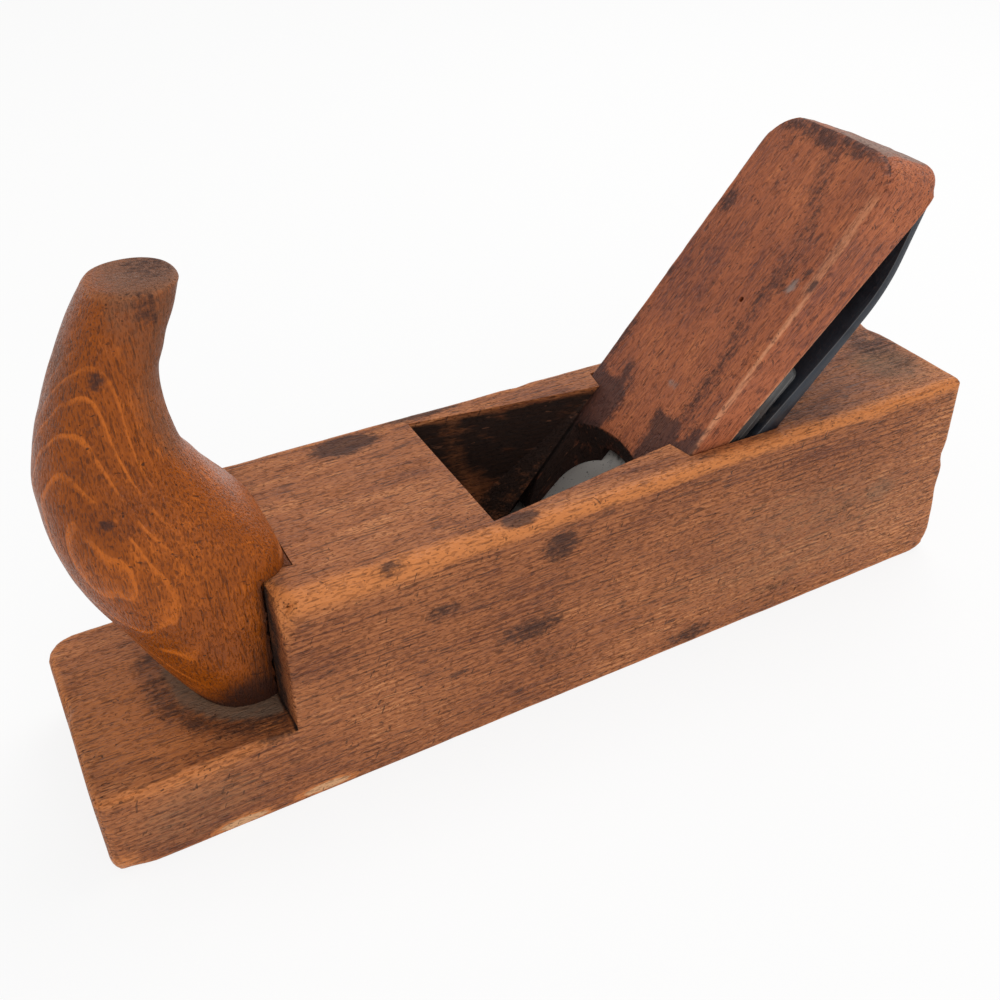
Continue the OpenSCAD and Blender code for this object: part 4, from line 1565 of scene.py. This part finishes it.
@dataclass
class Wedge:
    """The forked wedge that locks the irons against the abutments."""

    width: float = 46.8
    tip_s: float = 22.0
    head_front: float = 150.0
    head_back: float = 157.7
    corner: float = 10.0
    seat: float = 10.05
    seat_s: float = 71.6
    seat_slope: float = math.tan(math.radians(2.1))
    front_n: float = 19.648
    front_s: float = 62.30
    front_slope: float = math.tan(math.radians(3.0))
    screw_s: float = 62.0
    channel: float = 8.0
    arch_rear: Point3 = (47.6, 16.0, 16.0)
    arch_front: Point3 = (53.9, 17.0, 37.0)
    pin_at: Point2 = (101.3, -5.9)
    pin_radius: float = 0.75
    fine: tuple[float, ...] = (0.3, 0.7, 1.2, 1.9, 2.8, 4.0)
    streak: tuple[Point2, ...] = ((60.0, -16.5), (77.0, -14.3), (93.0, -12.8), (101.0, -11.7), (120.0, -11.4),
                                  (129.0, -7.7), (140.0, -2.7), (160.0, 4.0))
    spots: tuple[Blot, ...] = patches(
        Mark.STAIN,
        (122, 19.5, 0, 5, 3.5, 1, 1), (131, 8, 0, 3.5, 2, 1, 0.8), (115, -18.7, 0, 2.4, 1.4, 1, 1.3),
        (113, -23, 0, 2.4, 1.5, 1, 1.3), (89, -4.2, 0, 3.5, 1, 1, 1), (106, 14, 0, 2.5, 1.4, 1, 0.7),
        (142, 14, 0, 5, 2, 1, 0.7), (98, 22, 0, 3, 1.5, 1, 0.8), (127, 2, 0, 1.6, 1.1, 1, 1.4),
        (125, 12.5, 0, 1.8, 1, 1, 1.4), (118, -14.5, 0, 1.8, 1, 1, 1.4), (134, -12, 0, 2.4, 1, 1, 1.3),
        (109, 8, 0, 2.2, 0.9, 1, 1.1), (146, 2, 0, 2.6, 3, 1, 1.1), (94, 2.5, 0, 1.6, 0.9, 1, 1.2),
        (146, -9, 0, 2, 2.6, 1, 1.1))

    def cap_face(self, s: float) -> float:
        """Height of the cap iron's outer face above the bed."""
        return self.seat - self.seat_slope * (s - self.seat_s)

    def back(self, s: float) -> float:
        """Height of the wedge's rear face above the bed."""
        return self.cap_face(s) + GAP

    def face(self, s: float) -> float:
        """Height of the wedge's front face above the bed."""
        return self.front_n + self.front_slope * (s - self.front_s)

    def head(self, n: float) -> float:
        """Where the struck end lies at a height above the bed."""
        low, high = self.back(self.head_back), self.face(self.head_front)
        return self.head_back + (self.head_front - self.head_back) * (n - low) / (high - low)

    def arch_slice(self, n: float, crown: float, leg: float, radius: float) -> list[Point3]:
        """One level of the arch between the prongs.

        Args:
            n: Its height above the bed.
            crown: Where its round top lies.
            leg: Half the gap between the prongs.
            radius: The radius of its round top.

        Returns:
            Its corners in the frame.
        """
        half = math.asin(leg / radius)
        points = [(crown - radius + radius * math.cos(half * k / 16), radius * math.sin(half * k / 16))
                  for k in range(-16, 17)] + [(12.0, leg), (12.0, -leg)]
        return [tuple(BED @ Vector((s, y, n))) for s, y in points]

    def rim(self, s: float, y: float, end: float) -> tuple[float, Vector]:
        """How far a place lies inside the wedge's plan.

        Args:
            s: Distance up the bed.
            y: Distance across.
            end: Where the struck end lies.

        Returns:
            The distance to the plan's edge, and the way out to it.
        """
        half, side = self.width / 2, math.copysign(1.0, y)
        over_s, over_y = s - (end - self.corner), abs(y) - (half - self.corner)
        if over_s > 0 and over_y > 0:
            far = math.hypot(over_s, over_y)
            return self.corner - far, Vector((over_s / far, side * over_y / far))
        if end - s < half - abs(y):
            return end - s, Vector((1.0, 0.0))
        return half - abs(y), Vector((0.0, side))

    def worn(self, place: Vector) -> tuple[Vector, dict[Mark, float]]:
        """Wears one point of the wedge.

        Args:
            place: The point.

        Returns:
            Its worn place and its marks.
        """
        s, y, n = bed_axes(place)
        end = self.head(n)
        rim, outward = self.rim(s, y, end)
        front, rear = self.face(s) - n, n - self.back(s)
        bruise = ease(s, end - 16, end - 4) * (1.0 if outward.x > 0.3 else 0.4)
        # The lower end, down in the throat, is painted darker
        marks = {Mark.WEAR: 0.0, Mark.SOOT: ease(s, 57.0, 46.0)}
        new_s, new_y, new_n = s, y, n
        # The front and rear edges are bruised toward the struck end, most on the near side
        at_front = 0.8 + 0.5 * bruise + 0.25 * ripple(place, 5.0, 2.0)
        at_front += 2.2 * ease(s, 120.0, 148.0) * ease(y, 0.0, -20.0)
        at_rear = 0.6 + 2.2 * bruise * ease(y, 4.0, -18.0) + 0.6 * bruise
        for depth, inward_n, radius in ((front, -1.0, max(0.3, at_front)), (rear, 1.0, max(0.3, at_rear))):
            lack_rim, lack_face = radius - rim, radius - depth
            if lack_rim > 0 and lack_face > 0:
                size = math.hypot(lack_rim, lack_face)
                if size > radius:
                    fall = 1 - radius / size
                    new_s -= outward.x * lack_rim * fall
                    new_y -= outward.y * lack_rim * fall
                    new_n += inward_n * lack_face * fall
            # Paler arrises: a painted highlight, strongest low down on the near front edge
            if rim < 6 and depth < 6:
                glint = 0.6 + 0.4 * ease(s, 112.0, 106.0) * ease(y, -20.0, -22.0)
                near = ease(math.hypot(rim, depth), radius * 0.8 + 0.6, 0.2)
                marks[Mark.WEAR] = max(marks[Mark.WEAR], glint * near * ease(s, 142.0, 126.0))
        if front < 0.1 and y < 0:
            # A paler band along the near edge of the front face: a painted highlight
            pale = 0.6 * ease(abs(y + 22.2), 3.0, 0.5) * ease(s, 104.0, 114.0) * ease(s, 144.0, 136.0)
            marks[Mark.WEAR] = max(marks[Mark.WEAR], pale)
        # The struck end is battered, grey and ragged
        if rim < 0.05 and outward.x > 0:
            struck = ease(outward.x, 0.1, 0.9)
            new_s -= struck * (0.22 + 0.28 * ripple(place, 2.6, 4.0))
            marks[Mark.STAIN] = struck * (0.28 + 0.3 * ripple(place, 4.0, 8.0))
            marks[Mark.DUST] = struck * (0.6 + 0.5 * ripple(place, 9.0, 6.0))
        if front < 0.05:
            new_n -= 0.08 + 0.08 * ripple(place, 14.0, 3.0)
            marks[Mark.STAIN] = self.stained(s, y)
            smears = strongest(self.smears(), place)
            marks[Mark.DUST] = 0.35 * ease(s, 140, 152) + smears[Mark.DUST]
        # The faces between and under the prongs, off the front face, are painted fully dark
        if abs(y) < 17.5 and s < 54.5 and rim > 2 and front > 0.3:
            marks[Mark.SOOT] = 1.0
        return BED @ Vector((new_s, new_y, new_n)), marks

    def stained(self, s: float, y: float) -> float:
        """How dark the front face is stained: beside the abutments, in a streak up the middle and at the head.

        Args:
            s: Distance up the bed.
            y: Distance across.

        Returns:
            The stain's strength.
        """
        place = Vector((s, y, 0.0))
        wave = ripple(place, 6.0, 5.0) + 0.5 * ripple(place, 2.2, 9.0)
        foot = 1.3 * ease(s, 74.0 + 9 * wave, 62.0 + 7 * wave) * ease(abs(y) + 3 * wave, 4.0, 10.0)
        rim = 0.8 * ease(abs(y - 23.0), 3.5 + wave, 1.0) * ease(s, 92.0, 78.0)
        middle = self.streak[-1][1]
        for (low, y_low), (high, y_high) in zip(self.streak, self.streak[1:]):
            if low <= s <= high:
                middle = y_low + (y_high - y_low) * (s - low) / (high - low)
        streak = 0.62 * ease(abs(y - middle), 5.6 + 2.2 * wave, 1.2) * ease(s, 60.0, 70.0)
        head = 0.85 * ease(s, 141.0 + 5 * wave, 148.5)
        return max(foot, rim, streak, head, strongest(self.spots, place)[Mark.STAIN])

    def smears(self) -> tuple[Blot, ...]:
        """Pale smears on the front face."""
        def on_face(s: float, y: float, length: float, width: float, strength: float) -> Blot:
            """A smear on the front face."""
            at = BED @ Vector((s, y, self.face(s)))
            return Blot(tuple(at), (length * 0.72, width, length * 0.72), Mark.DUST, strength)
        return (on_face(110.2, -17.7, 3.6, 1.5, 1.2), on_face(98.3, -18.2, 3.6, 0.8, 1.2),
                on_face(73.7, -4.0, 1.8, 1.6, 0.9))

    def build(self) -> Solid:
        """Builds the worn wedge.

        Returns:
            The solid.
        """
        beyond = self.head_back + 12
        side = [(self.tip_s, self.back(self.tip_s)), (beyond, self.back(beyond)), (beyond, self.face(beyond)),
                (self.tip_s + 10, self.face(self.tip_s + 10)), (self.tip_s, self.back(self.tip_s) + 1.6)]
        half = self.width / 2
        solid = Solid.prism(side, -half, half, BED @ ACROSS)
        low = self.back(self.head_back)
        lean = math.atan2(self.head_back - self.head_front, self.face(self.head_front) - low)
        leaning = BED @ Matrix.Translation((self.head_back, 0, low)) @ Matrix.Rotation(-lean, 4, "Y")
        near = [(-170, -half - 2, 0), (-11, -half - 2, 0), (-11, -half, 0), (0, -half, self.corner)]
        plan = rounded_outline(mirrored(near), 12)
        solid.combine(Solid.prism(plan, -160, 160, leaning), Cut.BOTH)
        (low_crown, low_leg, low_radius), (crown, leg, radius) = self.arch_rear, self.arch_front
        rear, front = self.back(low_crown) - 0.2, self.face(crown) + 0.3
        solid.combine(Solid.hull(self.arch_slice(rear, low_crown, low_leg, low_radius)
                                 + self.arch_slice(front, crown, leg, radius)))
        wide = self.channel
        round_end = [(self.screw_s + wide * math.cos(a), wide * math.sin(a))
                     for a in (math.pi * (k / 24 - 0.5) for k in range(25))]
        channel = [*round_end, (0.0, wide), (0.0, -wide)]
        solid.combine(Solid.prism(channel, 0, self.cap_face(self.screw_s) + 4, BED))
        pin = BED @ Matrix.Translation((*self.pin_at, self.face(self.pin_at[0])))
        wide = self.pin_radius
        solid.combine(Solid.lathe([(0, -3), (wide, -3), (wide, 2), (0, 2)], pin, 16))
        solid.melt_seams()
        along, above = (BED_COS, 0, BED_COS), (-BED_COS, 0, BED_COS)
        shift = MOUTH_X * BED_COS
        low, high = (face(self.head_front) for face in (self.back, self.face))
        solid.slice_along(above, (v - shift for v in levels_between(low, high, 2.2, self.fine)))
        solid.slice_along((0, 1, 0), levels_between(-half, half, 2.0, self.fine))
        ends = levels_between(self.tip_s, self.head_back, 2.0, self.fine[:5])
        ends |= {self.head_front - f for f in (0, 1, 2.2, 3.4)}
        solid.slice_along(along, (v + shift for v in ends))
        return solid.wear(self.worn)

    def dress(self, solid: Solid) -> bpy.types.Object:
        """Gives the wedge its wood.

        Args:
            solid: The worn wedge.

        Returns:
            The piece.
        """
        wood = Beech("dull_beech", (0.0, 45.0, 0.0), (30.0, -70.0), tone(172, 96, 60), tone(106, 56, 44),
                     tone(200, 118, 74), tone(214, 144, 104), tone(150, 136, 128), ring_gap=3.0, ring_depth=0.12,
                     streaks=0.8, fleck_depth=0.42, stroke=(0.6, 2.2), dark=tone(80, 42, 34),
                     stain=tone(56, 38, 38), rough=0.55, gloss=0.3, battered=1.0, seed=90.0)
        return solid.finish("forked_wedge", wood, "wedge", "beech_wedge", "wedge")


@dataclass
class IronSet:
    """The blade, the cap iron, its riveted nut and the screw that clamps them."""

    wedge: Wedge
    blade_width: float = 47.6
    bit: float = 4.8
    tail: float = 2.1
    edge_over_sole: float = 0.6
    taper_from: float = 72.0
    taper_to: Point2 = (108.0, 2.78)
    shoulder: Point2 = (126.0, 8.4)
    blade_top: float = 154.0
    bevel: float = 27.0
    slot_width: float = 11.0
    slot_start: float = 44.0
    eye_s: float = 112.0
    eye: float = 20.0
    cap_width: float = 45.6
    cap_plate: float = 3.4
    cap_top: float = 96.0
    screw_s: float = 62.0
    screw: float = 8.0
    pitch: float = 1.25
    thread_depth: float = 0.62

    def edge_s(self) -> float:
        """Where the cutting edge lies along the bed."""
        return self.edge_over_sole / BED_COS - (self.bit + GAP)

    def edge_wear_and_glints(self, solid: Solid, reach: float = 0.3) -> Solid:
        """Stores bright wear and a painted glint on a metal piece's rounded edges.

        Args:
            solid: The piece, with its edges already rounded.
            reach: Faces narrower than this count as edges.

        Returns:
            The same solid.
        """
        mesh = solid.object.data
        share = [0.0] * len(mesh.loops)
        for face in mesh.polygons:
            around = sum((mesh.vertices[a].co - mesh.vertices[b].co).length for a, b in face.edge_keys)
            if 2 * face.area < reach * around:
                for corner in face.loop_indices:
                    share[corner] = 1.0
        layer = mesh.attributes.new(Mark.WEAR.value, "FLOAT", "CORNER")
        layer.data.foreach_set("value", share)
        return solid

    def build_blade(self) -> Solid:
        """Builds the tapered, slotted blade.

        Returns:
            The solid.
        """
        edge, top = self.edge_s(), self.bit + GAP
        run = self.bit / math.tan(math.radians(self.bevel))
        side = [(edge, top), (edge + run, GAP), (self.blade_top, GAP), (self.blade_top, GAP + self.tail),
                self.taper_to, (self.taper_from, top)]
        half = self.blade_width / 2
        solid = Solid.prism(side, -half - 1, half + 1, BED @ ACROSS)
        start, narrower = self.shoulder
        near = [(edge - 1, -half, 0), (start, -half, 60), (self.blade_top, -half + narrower, 6)]
        plan = rounded_outline(mirrored(near), 16)
        solid.combine(Solid.prism(plan, -1, 8, BED), Cut.BOTH)
        radius, wide = self.eye / 2, self.slot_width / 2
        meet = math.asin(wide / radius)
        keyhole = [(self.eye_s - radius * math.cos(a), radius * math.sin(a))
                   for a in (meet + (2 * math.pi - 2 * meet) * k / 48 for k in range(49))]
        foot = [(self.slot_start - wide * math.sin(a), -wide * math.cos(a))
                for a in (math.pi * k / 16 for k in range(17))]
        solid.combine(Solid.prism([*keyhole, *foot], -1, 8, BED))
        solid.melt_seams()
        solid.ease_edges(0.22, 2, lambda m: bed_axes(m)[0] > 0)
        return self.edge_wear_and_glints(solid)

    def build_cap(self) -> Solid:
        """Builds the bowed cap iron.

        Returns:
            The solid.
        """
        face = self.wedge.cap_face
        nose = (self.edge_s() + 1.3, self.bit + 2 * GAP)
        outer = bowed(nose, (nose[0] + 6.5, face(12)), (12.0, face(12)))
        inner = bowed((16.0, face(16) - self.cap_plate), (nose[0] + 8.5, face(12) - self.cap_plate),
                      (nose[0] + 0.9, nose[1]))
        side = [*outer, (self.cap_top, face(self.cap_top)), (self.cap_top, face(self.cap_top) - self.cap_plate),
                *inner]
        half = self.cap_width / 2
        solid = Solid.prism(side, -half - 1, half + 1, BED @ ACROSS)
        near = [(-8, -half, 0), (self.cap_top, -half, 2.5)]
        plan = rounded_outline(mirrored(near), 8)
        solid.combine(Solid.prism(plan, -1, 20, BED), Cut.BOTH)
        at_screw = BED @ Matrix.Translation((self.screw_s, 0, 0))
        solid.combine(Solid.lathe([(0, 0), (6, 0), (6, 20), (0, 20)], at_screw, 48))
        solid.melt_seams()
        solid.ease_edges(0.25, 2, lambda m: bed_axes(m)[0] > 1)
        return self.edge_wear_and_glints(solid)

    def build_nut(self) -> Solid:
        """Builds the riveted nut.

        Returns:
            The solid.
        """
        face = self.wedge.cap_face
        foot = self.bit + 2 * GAP
        under = face(self.screw_s + 7.5) - self.cap_plate - GAP
        over = face(self.screw_s - 7) + GAP
        bore = self.screw / 2 + 0.05
        profile = [(bore + 0.5, foot), (7.2, foot), (7.5, foot + 0.3), (7.5, under - 0.2), (7.3, under),
                   (6, under), (6, over), (7, over), (7, over + 1.5), (6.75, over + 2.2), (6.2, over + 2.7),
                   (5.4, over + 3), (bore + 0.6, over + 3), (bore, over + 2.4), (bore, foot + 0.5)]
        return Solid.lathe(profile, BED @ Matrix.Translation((self.screw_s, 0, 0)), 72)

    def thread(self, graph: Graph, sizes: dict[str, Socket], share: Socket,
               way: Socket) -> tuple[Socket, Socket, Socket]:
        """Where a point of the threaded shank lies.

        Args:
            graph: The tree.
            sizes: The thread's crest radius, depth, pitch and length.
            share: How far round the point is.
            way: How far along the shank.

        Returns:
            Its place.
        """
        height = graph.curve(way, ((0, 0), (0.01, 0), (0.99, 1), (1, 1)), Handle.STRAIGHT) * sizes["Length"]
        close = graph.curve(way, ((0, 0.001), (0.01, 1), (0.96, 1), (0.99, 0.82), (1, 0.001)), Handle.STRAIGHT)
        ridge = abs((height / sizes["Pitch"] - share).part() - 0.5) * 2.0
        radius = (sizes["Crest radius"] - sizes["Thread depth"] * ridge.rise(0.15, 0.85)) * close
        turn = share * (2 * math.pi)
        return radius * turn.cosine(), radius * turn.sine(), height

    def build_screw(self) -> Solid:
        """Builds the screw: a slotted head and a threaded shank.

        Returns:
            The solid.
        """
        at_screw = BED @ Matrix.Translation((self.screw_s, 0, 0))
        profile = [(0, -4.2), (4, -3.96), (6.6, -3.4), (7.7, -2.9), (8, -2.5), (8, -0.3), (7.7, 0), (3.6, 0),
                   (3.4, 0.8), (0, 0.8)]
        solid = Solid.lathe(profile, at_screw, 72)
        slot = [(-0.9, -16), (0.9, -16), (0.9, 16), (-0.9, 16)]
        solid.combine(Solid.prism(slot, -5.2, -2.3, at_screw))
        sizes = {"Crest radius": self.screw / 2, "Thread depth": self.thread_depth, "Pitch": self.pitch,
                 "Length": self.wedge.cap_face(self.screw_s) + 2.92}
        mesh = Sweep("screw_thread", 49, 150, 0.012, sizes, self.thread).mesh()
        mesh.transform(at_screw)
        return solid.combine(Solid(mesh), Cut.JOIN)

    def dress(self) -> list[bpy.types.Object]:
        """Builds and dresses the four metal pieces.

        Returns:
            The pieces.
        """
        # The blade's blue-grey is its patina, with a blue tint that paints a reflection on its dark face
        blade_steel = Steel("blade_patina_and_reflection", tone(46, 50, 58), tone(28, 32, 40), tone(104, 104, 104),
                            tone(48, 36, 31), 0.1, 0.42, polished_to=58.0, polish=0.3)
        # The polished lower end is painted near white, lighter than its steel, as painted light that lifts it in
        # the throat's shade
        cap_steel = Steel("cap_iron_patina_and_painted_light", tone(72, 72, 72), tone(52, 52, 53), tone(214, 209, 202),
                          tone(58, 45, 38), 0.1, 0.45, polished_to=50.0, polish=0.95)
        screw_steel = Steel("screw_patina", tone(72, 68, 66), tone(42, 38, 36), tone(126, 122, 116),
                            tone(70, 48, 36), 0.4, 0.5)
        brass = TurnedBrass("tarnished_brass", tone(150, 124, 74), tone(88, 70, 44), self.screw_s)
        return [
            self.build_blade().finish("blade", blade_steel, "blade", "blade_steel", "blade_iron"),
            self.build_cap().finish("cap", cap_steel, "cap", "cap_steel", "cap_iron"),
            self.build_nut().finish("riveted_nut", brass, "cap", "nut_brass", "cap_iron_nut"),
            self.build_screw().finish("clamp_screw", screw_steel, "screw", "screw_steel", "cap_iron_screw"),
        ]


# ---- Studio ----


@dataclass
class Studio:
    """A pale floor, soft light and the camera."""

    eye: Point3 = (-0.11746, -0.21480, 0.21425)
    look: Point3 = (0.9801526, -0.0099303, -0.5293513)
    lens: float = 41.63016
    shift: Point2 = (-0.0677632, -0.0300638)
    ambient: float = 0.5
    floor_glow: float = 0.86

    def place_camera(self) -> None:
        """Makes the camera."""
        data = bpy.data.cameras.new("camera")
        data.sensor_width, data.lens = 36.0, self.lens
        data.shift_x, data.shift_y = self.shift
        data.clip_start, data.clip_end = 0.01, 20.0
        camera = bpy.data.objects.new("camera", data)
        camera.location, camera.rotation_euler = self.eye, self.look
        bpy.context.scene.collection.objects.link(camera)
        bpy.context.scene.camera = camera

    def lamp(self, name: str, at: Point3, size: float, power: float) -> None:
        """Adds a soft lamp that faces the plane.

        Args:
            name: Its name.
            at: Where it hangs, in metres.
            size: Its width.
            power: Its power in watts.
        """
        data = bpy.data.lights.new(name, "AREA")
        data.shape, data.size, data.energy = "SQUARE", size, power
        lamp = bpy.data.objects.new(name, data)
        lamp.location = at
        lamp.rotation_euler = (Vector((0.0, 0.0, 0.03)) - Vector(at)).to_track_quat("-Z", "Y").to_euler()
        bpy.context.scene.collection.objects.link(lamp)

    def seen_directly(self, graph: Graph) -> Socket:
        """One for rays from the camera, a mirror or a clear body.

        Args:
            graph: The tree that asks.

        Returns:
            One or zero.
        """
        path = graph.add("ShaderNodeLightPath").port.node.outputs
        camera, glossy, clear = (Socket(graph, path[name])
                                 for name in ("Is Camera Ray", "Is Glossy Ray", "Is Transmission Ray"))
        return camera.largest(glossy).largest(clear)

    def set_world(self) -> None:
        """White to the camera, softer as a light."""
        world = bpy.data.worlds.new("studio")
        world.use_nodes = True
        bpy.context.scene.world = world
        graph = Graph(world.node_tree)
        direct = self.seen_directly(graph)
        back = world.node_tree.nodes["Background"]
        back.inputs["Color"].default_value = (1.0, 1.0, 1.0, 1.0)
        world.node_tree.links.new((self.ambient + direct * (1 - self.ambient)).port, back.inputs["Strength"])

    def lay_floor(self) -> None:
        """A wide pale floor that keeps the shadow."""
        material = bpy.data.materials.new("pale_floor")
        material.use_nodes = True
        tree = material.node_tree
        tree.nodes.clear()
        graph = Graph(tree)
        matt = graph.add("ShaderNodeBsdfDiffuse", None, {"Color": (0.95, 0.945, 0.935)})
        glow = graph.add("ShaderNodeEmission", None, {"Color": (1.0, 1.0, 1.0), "Strength": 1.0})
        share = self.seen_directly(graph) * self.floor_glow
        mixed = graph.add("ShaderNodeMixShader", None, {0: share, 1: matt, 2: glow})
        graph.add("ShaderNodeOutputMaterial", None, {0: mixed})
        shape = bmesh.new()
        bmesh.ops.create_circle(shape, cap_ends=True, segments=96, radius=6.0)
        mesh = bpy.data.meshes.new("floor")
        shape.to_mesh(mesh)
        shape.free()
        mesh.materials.append(material)
        floor = bpy.data.objects.new("floor", mesh)
        bpy.context.scene.collection.objects.link(floor)

    def build(self) -> None:
        """Sets up camera, light and floor."""
        self.place_camera()
        self.set_world()
        self.lay_floor()
        self.lamp("key", (0.5, 0.25, 0.95), 0.7, 5.0)
        self.lamp("fill", (-0.1, -1.15, 0.6), 0.9, 5.0)
        view = bpy.context.scene.view_settings
        view.view_transform = "Standard"


def main() -> None:
    """Builds the plane's looks around the frame."""
    logging.basicConfig(level=logging.INFO, format="%(name)s: %(message)s")
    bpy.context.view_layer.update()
    Studio().build()
    stock, horn, wedge = Stock(), Horn(), Wedge()
    stock.dress(stock.build())
    horn.dress(horn.build())
    wedge.dress(wedge.build())
    IronSet(wedge).dress()


if __name__ == "__main__":
    main()
